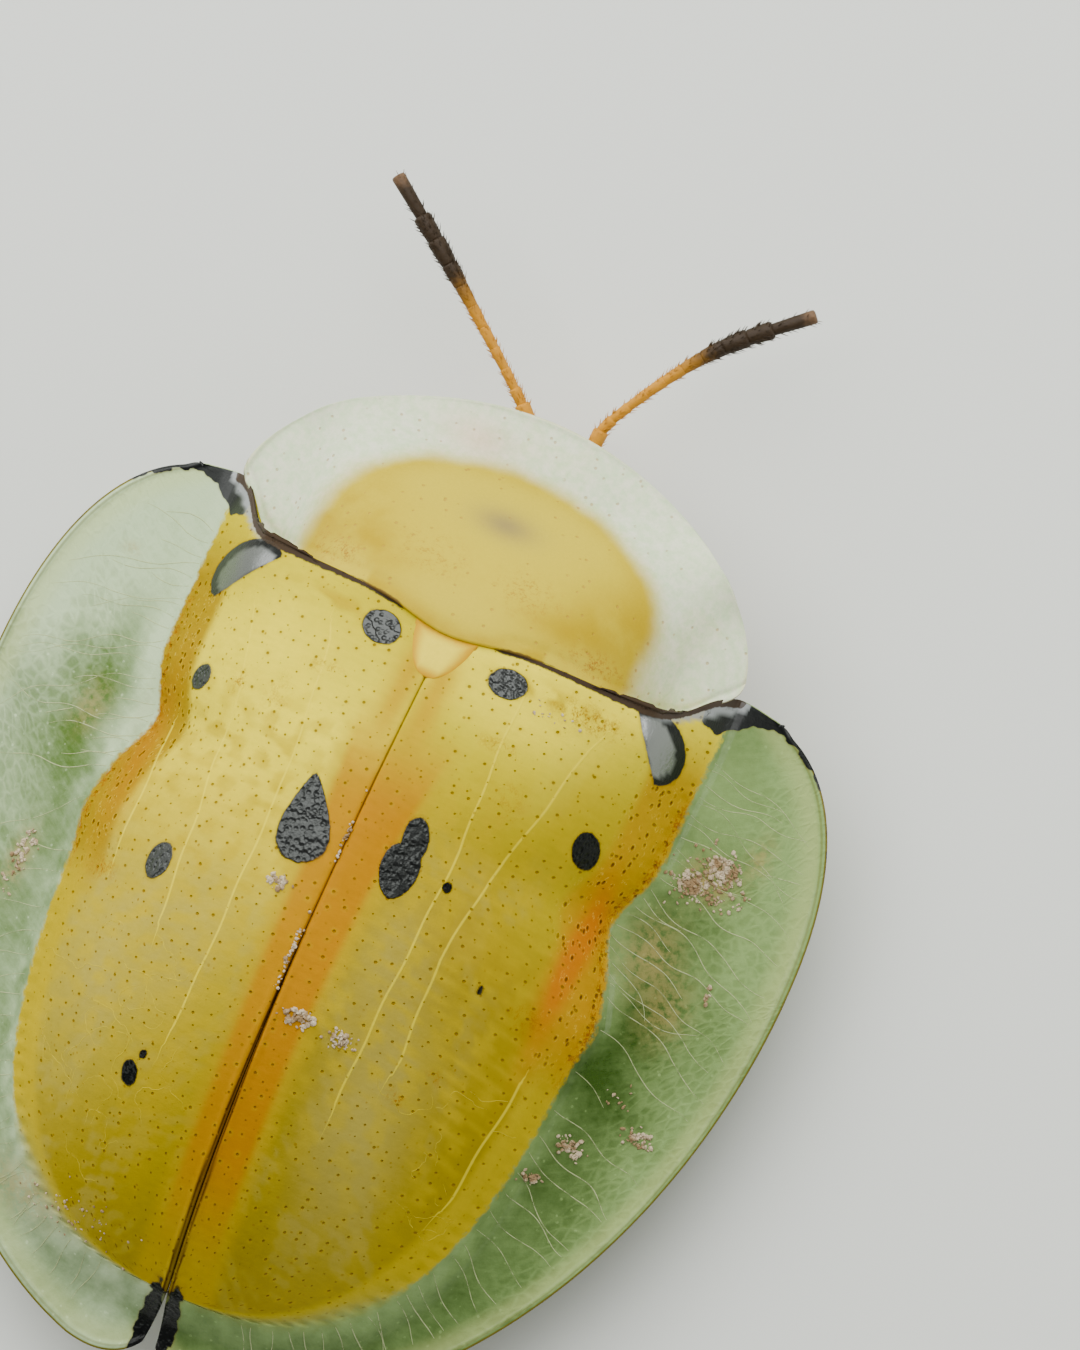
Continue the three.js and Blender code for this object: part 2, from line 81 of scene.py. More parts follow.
TIP_END = (0.1, 10.15)
BENT_TURN = 1 / 11


def share_of(value, low, high):
    """A soft step from 0 at low to 1 at high."""
    share = np.clip((value - low) / (high - low), 0, 1)
    return share * share * (3 - 2 * share)


def arm(share, power):
    return (1 - np.clip(share, 0, 1) ** power) ** (1 / power)


def bump(value, width):
    return np.exp(-((value / width) ** 2))


def smooth_max(a, b, blend):
    return 0.5 * (a + b + np.hypot(a - b, blend))


def base_line(x):
    """Where the shield meets the roots of the wing cases, with a dent at the scutellum."""
    across = np.abs(x)
    corner = ROOT["corner"] / (1 + np.exp(-(across - ROOT["corner_x"]) / ROOT["corner_blend"]))
    return -(ROOT["ahead"] - ROOT["dent"] * bump(across, ROOT["dent_half"]) + corner)


def disc_half(y):
    """Half the width of the disc, with a waist and behind it a small lobe."""
    waist = WAIST["deep"] * bump(y - WAIST["y"], WAIST["long"])
    return DISC["half"] - waist + LOBE["wide"] * bump(y - LOBE["y"], LOBE["long"])


def disc_share(x, y):
    along = np.maximum(0, (y - DISC["centre"]) / DISC["behind"])
    return ((np.abs(x) / disc_half(y)) ** DISC["power"] + along ** DISC["power"]) ** (1 / DISC["power"])


def brim_share(x, y):
    power = BRIM["behind_power"]
    along = np.maximum(0, (y - WIDEST) / BRIM["behind"])
    return ((np.abs(x) / BRIM["half"]) ** power + along ** power) ** (1 / power)


def wing_case_height(x, y):
    """Height of the back over the edge of the brim."""
    ahead = np.clip((DISC["centre"] - y) / DOME["fall_reach"], 0, 1.2)
    crown = DOME["height"] - DOME["fall"] * ahead ** DOME["fall_power"]
    flatness = DOME["power"] + 0.7 * np.clip(ahead, 0, 1)
    dome = DISC_RISE + (crown - DISC_RISE) * (1 - disc_share(x, y) ** flatness)
    inner = DISC["half"] / BRIM["half"]
    outward = np.clip((brim_share(x, y) - inner) / (1 - inner), 0, 1)
    across = bump(np.abs(x) - SHOULDER_BUMP["x"], SHOULDER_BUMP["wide"])
    shoulder = SHOULDER_BUMP["height"] * across * bump(y, SHOULDER_BUMP["long"])
    return smooth_max(dome, DISC_RISE * (1 - outward) ** 1.5, FOLD_BLEND) + shoulder


def shield_height(x, y):
    """Height of the shield over the edge of the brim."""
    roof = 1 - np.clip(np.abs(x) / SHIELD_DOME["half"], 0, 1.3) ** 3
    forward = np.maximum(0, SHIELD_DOME["front"] - y) / SHIELD_DOME["long"]
    roof = roof * (1 - forward ** SHIELD_DOME["power"])
    nose = np.maximum(0, SHIELD_FRONT["y"] - y) / SHIELD_FRONT["reach"]
    margin = SHIELD_RISE - 0.3 * ((x / SHIELD_HALF) ** 2 + nose**2)
    return smooth_max(SHIELD_RISE + SHIELD_DOME["height"] * roof, margin, FOLD_BLEND)


def brim_edge(turn):
    """The brim's outline: a turn of -1 is the front corner, 0 the widest place and 1 the tip."""
    angle = np.abs(turn) * math.pi / 2
    cos, sin = np.cos(angle), np.sin(angle)
    ahead, behind = 2 / BRIM["ahead_power"], 2 / BRIM["behind_power"]
    flare = BRIM["half"] - BRIM["shoulder"]
    x = np.where(turn < 0, BRIM["shoulder"] + flare * cos**ahead, BRIM["half"] * cos**behind)
    y = np.where(turn < 0, WIDEST - BRIM["ahead"] * sin**ahead, WIDEST + BRIM["behind"] * sin**behind)
    return np.stack([x, y])


def brim_outline(turn):
    """The outline again, with its front corner and the rounded tip beside the notch."""
    outline = brim_edge(np.where(turn < 0, turn * CORNER_TURN, turn * TIP_TURN))
    share = np.clip((turn - TIP_START) / (1 - TIP_START), 0, 1)
    start = brim_edge(np.array(TIP_START * TIP_TURN))[:, None]
    bend, end = np.array(TIP_BEND)[:, None], np.array(TIP_END)[:, None]
    tip = (1 - share) ** 2 * start + 2 * share * (1 - share) * bend + share**2 * end
    return np.where(turn > TIP_START, tip, outline)


def front_line(x):
    """The front edge of a wing case: its root, and beyond that the front of the brim."""
    outward = (x - BRIM["shoulder"]) / (BRIM["half"] - BRIM["shoulder"])
    ahead = WIDEST - BRIM["ahead"] * arm(outward, BRIM["ahead_power"])
    return np.where(x < CORNER, base_line(x) + BASE_GAP, ahead)


def disc_outline(turn):
    angle = np.clip(turn, 0, 1) * math.pi / 2
    y_ahead = DISC["centre"] + turn * (DISC["centre"] - base_line(DISC["half"]) - BASE_GAP)
    y_behind = DISC["centre"] + DISC["behind"] * np.sin(angle) ** (2 / DISC["power"])
    y = np.where(turn < 0, y_ahead, y_behind)
    x = np.where(turn < 0, disc_half(y), disc_half(y) * np.cos(angle) ** (2 / DISC["power"]))
    return np.stack([np.maximum(x, SEAM), y])


def seam_line(turn):
    front, end = base_line(SEAM) + BASE_GAP, DISC["centre"] + DISC["behind"]
    y_ahead = front + (SEAM_MIDDLE - front) * (1 + turn)
    y_behind = SEAM_MIDDLE + (end - SEAM_MIDDLE) * np.sin(np.clip(turn, 0, 1) * math.pi / 2)
    return np.stack([np.full_like(turn, SEAM), np.where(turn < 0, y_ahead, y_behind)])


# Shares of the grid, across and along, and what they stand for.
# Across, 0 is the seam, 1 the disc's border and 2 the edge.
COLUMNS, ROWS = 150, 230
ACROSS = ([0, 0.03, 0.5, 0.66, 0.97, 1], [0, 0.012, 0.92, 1.1, 1.97, 2])
ALONG = ([0, 0.03, 0.35, 0.9, 1], [-1, -1, 0, 0.93, 1])
LIP_SHARE = 0.03


def wing_case_plan(across, along):
    """Seen from above: where the grid's points lie, and how far from the disc's border and the edge."""
    turn, column = np.interp(along, *ALONG), np.interp(across, *ACROSS)
    seam, border, edge = seam_line(turn), disc_outline(turn), brim_outline(turn)
    on_disc, on_brim = np.clip(column, 0, 1), np.clip(column - 1, 0, 1)
    x, y = np.where(column < 1, seam + (border - seam) * on_disc, border + (edge - border) * on_brim)
    straight = seam[1] + (edge[1] - seam[1]) * (x - SEAM) / (edge[0] - SEAM)
    bend = 1 - share_of(1 + turn, 0, BENT_TURN)
    y = y + bend * (base_line(x) + BASE_GAP - straight)
    from_border = np.where(column < 1, -1, 1) * np.hypot(x - border[0], y - border[1])
    to_edge = np.hypot(x - edge[0], y - edge[1])
    return x, y, turn, from_border, to_edge


def border_length(turn):
    """Millimetres walked along the disc's border from the front corner."""
    turns = np.linspace(-1, 1, 600)
    steps = np.hypot(*np.diff(disc_outline(turns), axis=1))
    return np.interp(turn, turns, np.concatenate([[0], np.cumsum(steps)]))


def grid_piece(name, columns, rows):
    """A flat unit grid. The shares across and along it are attributes, so that they outlast merging."""
    bpy.ops.object.select_all(action="DESELECT")
    bpy.ops.mesh.primitive_grid_add(x_subdivisions=columns, y_subdivisions=rows, size=1)
    piece = bpy.context.object
    piece.name = piece.data.name = name
    flat = points_of(piece)
    for label, values in (("across", flat[:, 0] + 0.5), ("along", flat[:, 1] + 0.5)):
        paint(piece, label, np.clip(values, 0, 1))
    return piece


def points_of(piece):
    flat = np.empty(3 * len(piece.data.vertices))
    piece.data.vertices.foreach_get("co", flat)
    return flat.reshape(-1, 3)


def move_points(piece, x, y, z):
    piece.data.vertices.foreach_set("co", np.stack([x, y, z], axis=1).ravel())
    piece.data.update()


def paint(piece, label, values):
    """Writes an attribute: one number for each point, or one colour."""
    colour = values.ndim == 2
    kind, field = ("FLOAT_COLOR", "color") if colour else ("FLOAT", "value")
    attributes = piece.data.attributes
    kept = attributes.get(label) or attributes.new(label, kind, "POINT")
    if colour:
        values = np.concatenate([values, np.ones((len(values), 1))], axis=1)
    kept.data.foreach_set(field, values.ravel())


def painted(piece, label):
    values = np.empty(len(piece.data.vertices))
    piece.data.attributes[label].data.foreach_get("value", values)
    return values


def give_thickness(piece, thickness, most):
    """Turns a sheet into a shell that is as thick below its face as thickness says at each point."""
    group = piece.vertex_groups.new(name="thickness")
    for index, weight in enumerate(thickness / most):
        group.add([index], float(weight), "REPLACE")
    shell = piece.modifiers.new("shell", "SOLIDIFY")
    shell.thickness, shell.offset, shell.vertex_group = most, -1, group.name
    bpy.ops.object.modifier_apply(modifier=shell.name)


def mesh_step(step, **settings):
    """Runs one edit-mode operator on the whole of the active piece."""
    bpy.ops.object.mode_set(mode="EDIT")
    bpy.ops.mesh.select_all(action="SELECT")
    step(**settings)
    bpy.ops.object.mode_set(mode="OBJECT")


def only(*pieces):
    """Selects these pieces alone and makes the first one active."""
    bpy.ops.object.select_all(action="DESELECT")
    for piece in pieces:
        piece.select_set(True)
    bpy.context.view_layer.objects.active = pieces[0]


def into_frame(piece):
    """From working millimetres, with y counted back from the scutellum, to metres in the shared frame."""
    piece.data.transform(Matrix.Translation((0, BACK_SHIFT * MM, 0)) @ Matrix.Scale(MM, 4))
    only(piece)
    bpy.ops.object.shade_smooth()


class Spot:
    """A black spot: a turned oval, which may be pinched towards its front end or cut on its inner side."""

    def __init__(self, x, y, half_long, half_wide, turn=0, pinch=0, cut=None, gloss=0.0):
        self.x, self.y = x, y
        self.half_long, self.half_wide = half_long, half_wide
        self.turn, self.pinch, self.cut = math.radians(turn), pinch, cut
        self.gloss = gloss

    def distance(self, x, y):
        """Roughly how far outside its outline a point is, and less than 0 inside."""
        dx, dy = x - self.x, y - self.y
        along = (dy * math.cos(self.turn) + dx * math.sin(self.turn)) / self.half_long
        wide = self.half_wide * (1 + self.pinch * np.clip(along, -1, 1))
        across = (dx * math.cos(self.turn) - dy * math.sin(self.turn)) / wide
        outside = (np.hypot(along, across) - 1) * min(self.half_long, self.half_wide)
        return outside if self.cut is None else np.maximum(outside, self.cut - across * wide)


# A spot's gloss also lightens its black towards grey, as a painted reflection.
SPOTS = {
    "left": [
        Spot(2.93, 0.22, 0.56, 0.42, 42, 0, -0.06),
        Spot(0.82, 0.2, 0.22, 0.27, 10, gloss=0.28),
        Spot(2.88, 1.74, 0.18, 0.13, 12, gloss=0.25),
        Spot(0.61, 2.92, 0.6, 0.31, -13, 0.62, gloss=0.2),
        Spot(2.27, 4.22, 0.26, 0.17, 8, gloss=0.25),
        Spot(1.46, 6.94, 0.17, 0.11, -20),
        Spot(1.37, 6.64, 0.06, 0.05),
    ],
    "right": [
        Spot(2.98, 0.11, 0.49, 0.42, 35, 0, -0.06),
        Spot(1.02, 0.2, 0.2, 0.26, 5, gloss=0.26),
        Spot(2.79, 1.74, 0.24, 0.17, 10),
        Spot(0.82, 2.6, 0.3, 0.17, 12, gloss=0.13),
        Spot(0.79, 3.06, 0.38, 0.25, 4, -0.15, gloss=0.13),
        Spot(2.34, 4.02, 0.06, 0.05),
        Spot(1.44, 2.99, 0.07, 0.06),
    ],
}
CORNER_PATCH = ([3.3, 3.42, 3.58, 3.75, 4.0, 4.4, 5.0, 5.4], [0.0, 0.2, 0.42, 0.33, 0.16, 0.08, 0.04, 0.0])
CORNER_FILM = ([2.9, 3.15, 3.4, 3.62, 3.85], [0.0, 0.06, 0.15, 0.13, 0.0])
# Where the shoulder spots are lightened to grey inside a black rim: a painted reflection of the lamps.
SHEENS = {
    "left": Spot(2.93, 0.22, 0.45, 0.3, 42, 0, -0.06, gloss=0.72),
    "right": Spot(2.98, 0.11, 0.39, 0.29, 35, 0, -0.06, gloss=1.0),
}
TIP_PATCH = Spot(0.14, 9.95, 0.66, 0.13)
# Soft oval marks: how strong each is, where its middle lies, and its two half sizes.
SHARED_STAINS = [(0.6, 1.25, 1.0, 0.25, 0.1), (0.4, 1.7, 1.6, 0.2, 0.3)]
STAINS = {
    "left": [(1.0, 3.05, 4.6, 0.22, 0.14), (0.6, 4.07, -0.36, 0.04, 0.1), (0.8, 2.3, 1.64, 0.1, 0.16)],
    "right": [
        (1.0, 2.16, 0.16, 0.45, 0.16),
        (0.8, 3.0, 4.1, 0.22, 0.16),
        (1.2, 1.93, 5.78, 0.1, 0.08),
        (0.6, 2.29, 5.32, 0.12, 0.1),
    ],
}
TANS = {
    "left": [
        (0.45, 4.3, 2.65, 0.25, 0.35),
        (0.6, 2.2, 8.9, 0.9, 0.35),
        (0.7, 4.35, 4.9, 0.15, 0.4),
        (0.5, 4.71, 0.47, 0.12, 0.08),
    ],
    "right": [
        (0.5, 4.5, 3.2, 0.3, 0.45),
        (0.6, 4.0, 2.6, 0.35, 0.5),
        (0.9, 4.3, 1.35, 0.3, 0.25),
        (0.5, 4.8, 0.8, 0.15, 0.3),
    ],
}
LONG_VEINS = {
    "left": [
        [(2.62, 0.5), (2.23, 1.72), (2.15, 2.71), (2.02, 3.55), (1.9, 4.94), (1.8, 5.5)],
        [(1.5, 0.3), (1.37, 0.64), (1.19, 1.76), (1.1, 2.88), (1.08, 4.04), (1.07, 5.18), (1.17, 6.86)],
        [(3.05, 2.3), (2.98, 3.2), (2.95, 4.2), (2.9, 4.9)],
    ],
    "right": [
        [(1.27, 0.1), (1.31, 1.19), (1.39, 2.47), (1.36, 3.65), (1.3, 5.12), (1.24, 6.85)],
        [(2.45, 0.15), (2.32, 0.52), (2.14, 1.5), (1.88, 2.65), (1.74, 3.89), (1.79, 5.3), (1.7, 6.0)],
        [(3.25, 4.7), (3.2, 5.2), (3.01, 6.7), (2.8, 7.4)],
    ],
}
# The pale cream is partly the shell's own colour and partly a painted sheen, the reflection of the lamp over
# the front.
CREAM_AND_SHEEN = (0.76, 0.63, 0.015)
BUTTER = (0.5, 0.41, 0.0)
YELLOW = (0.40, 0.30, 0.0)
GOLD = (0.33, 0.25, 0.0)
# A deep ochre for the hind end, partly the shell's own colour and partly painted shade.
OCHRE_AND_SHADE = (0.27, 0.195, 0.0)
ORANGE = (0.42, 0.195, 0.0)
DEEP_ORANGE = (0.5, 0.155, 0.0)
CLOUD = (0.36, 0.295, 0.05)
HONEY = (0.42, 0.3, 0.0)
# How far back from the scutellum each ground colour lies. They darken towards the hind end, and the right
# side is darker than the left, partly in the shell's own colour and partly as painted shade.
BACK_COLOURS_AND_PAINTED_LIGHT = {
    "left": {
        0.0: BUTTER,
        1.8: CREAM_AND_SHEEN,
        3.2: (0.6, 0.47, 0.01),
        4.6: (0.44, 0.33, 0.01),
        6.4: GOLD,
        9.0: OCHRE_AND_SHADE,
    },
    "right": {0.0: CREAM_AND_SHEEN, 1.0: BUTTER, 2.2: YELLOW, 3.6: (0.33, 0.23, 0.0), 6.0: OCHRE_AND_SHADE},
}
FLANK_COLOURS = {"left": (0.31, 0.2, 0.0), "right": (0.42, 0.25, 0.0)}
SEAM_BANDS = {
    "left": {"colour": ORANGE, "widths": [0.66, 0.5, 0.42, 0.38]},
    "right": {"colour": (0.4, 0.17, 0.0), "widths": [0.85, 0.7, 0.58, 0.52]},
}
SEAM_BAND_PLACES = [1.0, 2.2, 3.5, 6.0]
MOTTLE_WAVES = 14


# Washes of colour over the shell. A mask is a number from 0 to 1 for each point.
def wash(tint, colour, mask):
    """Lays a colour over the tint as strongly as the mask says."""
    return tint + (np.array(colour) - tint) * mask[:, None]


def oval(x, y, x_middle, y_middle, half_x, half_y):
    return np.exp(-(((x - x_middle) / half_x) ** 2 + ((y - y_middle) / half_y) ** 2))


def ovals(x, y, marks):
    """Soft oval marks, added up."""
    return sum(strength * oval(x, y, *place) for strength, *place in marks)


def between(value, start, start_full, end_full, end):
    """A soft step up and a soft step down again."""
    return share_of(value, start, start_full) * (1 - share_of(value, end_full, end))


def mottle(x, y, size, seed):
    """Soft patches about as wide as size, from 0 to 1: the sum of waves that run in chance directions."""
    chance = np.random.default_rng(seed)
    total = np.zeros_like(x)
    for _ in range(MOTTLE_WAVES):
        heading, phase = chance.uniform(0, 2 * math.pi, 2)
        pace = chance.uniform(0.6, 1.6) * math.pi / size
        total += np.sin(pace * (x * math.cos(heading) + y * math.sin(heading)) + phase)
    return share_of(total / math.sqrt(MOTTLE_WAVES), -1.2, 1.2)


def back_tint(side_name, x, y, from_border):
    """The ground colour of the disc, laid on in washes from the seam to the flank, with painted shade
    towards the hind end and on the right, and a painted sheen in the pale cream in front.
    """
    ground = BACK_COLOURS_AND_PAINTED_LIGHT[side_name]
    channels = zip(*ground.values())
    tint = np.stack([np.interp(y, list(ground), channel) for channel in channels], axis=1)
    on_left = side_name == "left"
    blotches = mottle(0.6 * x, y, 0.16, 1 + on_left)
    clouds = 0.6 * mottle(x, 0.6 * y, 0.5, 3 + on_left) + 0.4 * mottle(x, 0.8 * y, 0.12, 9)
    if on_left:
        # Pale cream on the front of the left disc, partly a painted sheen.
        tint = wash(tint, CREAM_AND_SHEEN, ovals(x, y, [(0.8, 2.3, 1.0, 0.9, 0.9)]))
        tint = wash(tint, CLOUD, ovals(x, y, [(0.7, 2.5, 5.9, 0.9, 1.7), (0.5, 1.3, 5.0, 0.5, 1.2)]))
        tint = wash(tint, CLOUD, 0.45 * share_of(clouds, 0.45, 0.8) * share_of(y, 3.2, 5))
        tint = wash(tint, HONEY, ovals(x, y, [(0.6, 0.9, 7.0, 0.45, 1.6)]))
    else:
        tint = wash(tint, YELLOW, 0.9 * share_of(x, 1.9, 2.6) * between(y, 0.2, 1.2, 2.4, 4))
        tint = wash(tint, CLOUD, ovals(x, y, [(0.85, 1.65, 6.4, 0.7, 2.0), (0.5, 1.1, 4.2, 0.45, 1.0)]))
        away = share_of(y, 1.8, 3) * (1 - share_of(x, 2.3, 2.8))
        tint = wash(tint, CLOUD, 0.35 * share_of(clouds, 0.5, 0.8) * away)
        # Pale cream on the front of the right disc, partly a painted sheen.
        tint = wash(tint, CREAM_AND_SHEEN, ovals(x, y, [(0.8, 1.6, 0.5, 0.95, 0.55)]))
    patches = share_of(blotches, 0.35, 0.95) * (0.4 + 0.6 * clouds) * between(y, 1.0, 2.2, 5, 9)
    tint = wash(tint, (0.44, 0.32, 0.0), 0.75 * patches)
    flank = share_of(from_border, -0.68, -0.52) * (1 - share_of(y, 4.2, 5.2))
    tint = wash(tint, FLANK_COLOURS[side_name], 0.97 * flank * share_of(y, -0.6, 0.5))
    tint = wash(tint, (0.42, 0.31, 0.0), 0.95 * share_of(from_border, -0.45, -0.3) * share_of(y, 4.2, 5.2))
    if on_left:
        tint = wash(tint, (0.34, 0.15, 0.0), ovals(x, y, [(0.97, 3.32, 2.9, 0.25, 1.2)]))
    else:
        tint = wash(tint, DEEP_ORANGE, np.clip(ovals(x, y, [(1.5, 3.18, 3.1, 0.16, 1.0)]), 0, 1))
        tint = wash(tint, (0.46, 0.23, 0.0), ovals(x, y, [(0.95, 3.56, 3.6, 0.2, 0.75)]))
    band = SEAM_BANDS[side_name]
    width = np.interp(y, SEAM_BAND_PLACES, band["widths"])
    seam_band = (1 - share_of(x, width - 0.1, width + 0.04)) * between(y, 1.0, 2.6, 7.2, 9.2)
    seam_glow = (1 - share_of(x, width, width + 0.25)) * share_of(y, 0.8, 2.6)
    tint = wash(tint, (0.42, 0.28, 0.0), 0.7 * seam_glow)
    tint = wash(tint, band["colour"], 0.98 * seam_band)
    tint = wash(tint, (0.44, 0.26, 0.0), 0.85 * bump(x - 0.22, 0.2) * between(y, -0.1, 0.5, 1, 2))
    tint = wash(tint, HONEY, ovals(x, y, [(0.9, 1.55, 0.12, 0.7, 0.13)]) * share_of(blotches, 0.2, 0.7))
    return wash(tint, (0.3, 0.29, 0.06), 0.85 * share_of(from_border, -0.5, 0) * share_of(y, 7.6, 8.8))


class Wire:
    """A socket of a shader node. A sum or product of wires adds the Math node that works it out."""

    def __init__(self, tree, socket=None):
        self.tree, self.socket = tree, socket

    def node(self, kind, settings=None, sockets=None, result=0):
        """Adds a node, its settings first and then its sockets' values or links, and returns one output."""
        made = self.tree.nodes.new("ShaderNode" + kind)
        for setting, value in (settings or {}).items():
            setattr(made, setting, value)
        for key, value in (sockets or {}).items():
            self.plug(find_socket(made.inputs, key), value)
        return Wire(self.tree, find_socket(made.outputs, result))

    def plug(self, socket, value):
        if isinstance(value, Wire):
            self.tree.links.new(value.socket, socket)
        elif socket.type == "RGBA":
            socket.default_value = (*value, 1)
        else:
            socket.default_value = value

    def reckon(self, operation, *values):
        return self.node("Math", {"operation": operation}, dict(enumerate(values)))

    def __add__(self, other):
        return self.reckon("ADD", self, other)

    def __radd__(self, other):
        return self.reckon("ADD", other, self)

    def __sub__(self, other):
        return self.reckon("SUBTRACT", self, other)

    def __rsub__(self, other):
        return self.reckon("SUBTRACT", other, self)

    def __mul__(self, other):
        return self.reckon("MULTIPLY", self, other)

    def __rmul__(self, other):
        return self.reckon("MULTIPLY", other, self)

    def __truediv__(self, other):
        return self.reckon("DIVIDE", self, other)

    def soft(self, low, high):
        """A soft step of this value, from 0 at low to 1 at high."""
        limits = {"Value": self, "From Min": low, "From Max": high}
        return self.node("MapRange", {"interpolation_type": "SMOOTHSTEP"}, limits)

    def read(self, label, output="Fac"):
        return self.node("Attribute", {"attribute_name": label}, result=output)

    def mix(self, share, first, second):
        sockets = {"Factor_Float": share, "A_Color": first, "B_Color": second}
        return self.node("Mix", {"data_type": "RGBA"}, sockets, "Result_Color")

    def noise(self, place, scale, detail=2, roughness=0.5):
        sockets = {"Vector": place, "Scale": scale, "Detail": detail, "Roughness": roughness}
        return self.node("TexNoise", None, sockets)

    def cells(self, place, scale, feature="F1", randomness=1.0, result="Distance", dimensions="3D"):
        settings = {"voronoi_dimensions": dimensions, "feature": feature}
        sockets = {"Vector": place, "Scale": scale, "Randomness": randomness}
        return self.node("TexVoronoi", settings, sockets, result)

    def stretched(self, place, amounts):
        """The same place, measured in other units along its three axes."""
        return self.node("VectorMath", {"operation": "MULTIPLY"}, {0: place, 1: amounts})

    def band(self, low, low_full, high_full, high):
        """A soft step up and a soft step down again."""
        return self.soft(low, low_full) * (1 - self.soft(high_full, high))

    def most(self, other):
        return self.reckon("MAXIMUM", self, other)

    def held(self, most=1.0):
        """This value, kept from 0 to the most it may be."""
        return self.node("Clamp", None, {"Value": self, "Max": most})

    def shaded(self, colour, amount):
        """A colour made lighter or darker by a number."""
        return self.node("VectorMath", {"operation": "SCALE"}, {0: colour, "Scale": amount})

    def relief(self, height):
        """A bumped normal from a height in millimetres."""
        return self.node("Bump", None, {"Height": height, "Distance": MM, "Strength": 1.0})


def find_socket(sockets, key):
    if isinstance(key, int):
        return sockets[key]
    matches = [socket for socket in sockets if socket.identifier == key]
    return matches[0] if matches else sockets[key]


def new_finish(name, steady):
    """A new material with its steady sockets set, a wire to build with, and object places in millimetres."""
    material = bpy.data.materials.new(name)
    material.use_nodes = True
    for socket, value in steady.items():
        material.node_tree.nodes["Principled BSDF"].inputs[socket].default_value = value
    bench = Wire(material.node_tree)
    spot = bench.node("TexCoord", result="Object")
    return material, bench, bench.node("VectorMath", {"operation": "SCALE"}, {0: spot, "Scale": 1 / MM})


def feed(material, sockets):
    shader = material.node_tree.nodes["Principled BSDF"]
    for name, wire in sockets.items():
        wire.plug(shader.inputs[name], wire)


# The clear brim shows a leaf through it. The right brim's darker clear colour is painted shade, the leaf in
# shadow below, and the left brim's pale milk is partly a painted sheen.
BRIM_COLOURS = {
    "left": {"clear": (0.075, 0.14, 0.025), "milk_and_sheen": (0.43, 0.55, 0.31), "haze": 0.36},
    "right": {"clear": (0.032, 0.072, 0.008), "milk_and_sheen": (0.22, 0.33, 0.11), "haze": 0.3},
}
ROWS_OF_PITS = 17
PIT_STEP = 0.2
FAN_STEP = 0.3


def long_veins_mask(bench, side_name, length, fine):
    """Where the long raised veins of the disc run, each fading at its two ends."""
    vein = 0
    for number, route in enumerate(LONG_VEINS[side_name]):
        start, end = route[0][1] / PIT_STEP, route[-1][1] / PIT_STEP
        across = bench.reckon("ABSOLUTE", bench.read(f"vein_{number}"))
        line = 1 - (across + 0.006 * fine).soft(0.009, 0.026)
        vein = length.band(start - 1, start + 1, end - 3, end) * line + vein
    return vein


def brim_paint(bench, side_name, marks, rim, outward):
    """The brim's colour, milky in patches, with a net of veins, a pale band and a dark edge."""
    look = BRIM_COLOURS[side_name]
    broad, fine = marks["broad"], marks["fine"]
    fan = bench.node("CombineXYZ", None, {"X": bench.read("fan"), "Y": outward})
    net = bench.cells(fan, 1.8, "DISTANCE_TO_EDGE", 0.85)
    net_line = (1 - net.soft(0.0, 0.24)) * outward.soft(2.0, 4.5)
    streak = bench.noise(bench.stretched(fan, (2.2, 0.4, 1)), 1.0, 3, 0.6)
    milk_and_sheen = bench.read("milk_and_sheen") + look["haze"] * (broad.soft(0.25, 0.75) + 0.35 * streak.soft(0.4, 0.75) - 0.4)
    milk_and_sheen = (milk_and_sheen + 0.35 * marks["speck"] + 0.18 * net_line + 0.4 * (fine - 0.5)).held()
    edge = 1 - rim.soft(0.02, 0.035) + 0.4 * rim.band(0.055, 0.065, 0.085, 0.1)
    # Clear colour with painted shade on the right, and milk that is partly a painted sheen.
    colour = bench.mix(milk_and_sheen, look["clear"], look["milk_and_sheen"])
    colour = bench.mix(rim.band(0.07, 0.14, 0.2, 0.55) * 0.4, colour, (0.45, 0.52, 0.18))
    colour = bench.mix(bench.read("tan") * fine.soft(0.3, 0.6), colour, (0.36, 0.27, 0.09))
    colour = bench.mix(edge, colour, (0.13, 0.115, 0.012))
    return colour, 0.9 + 0.1 * milk_and_sheen + edge, 0.008 * streak + 0.005 * net_line


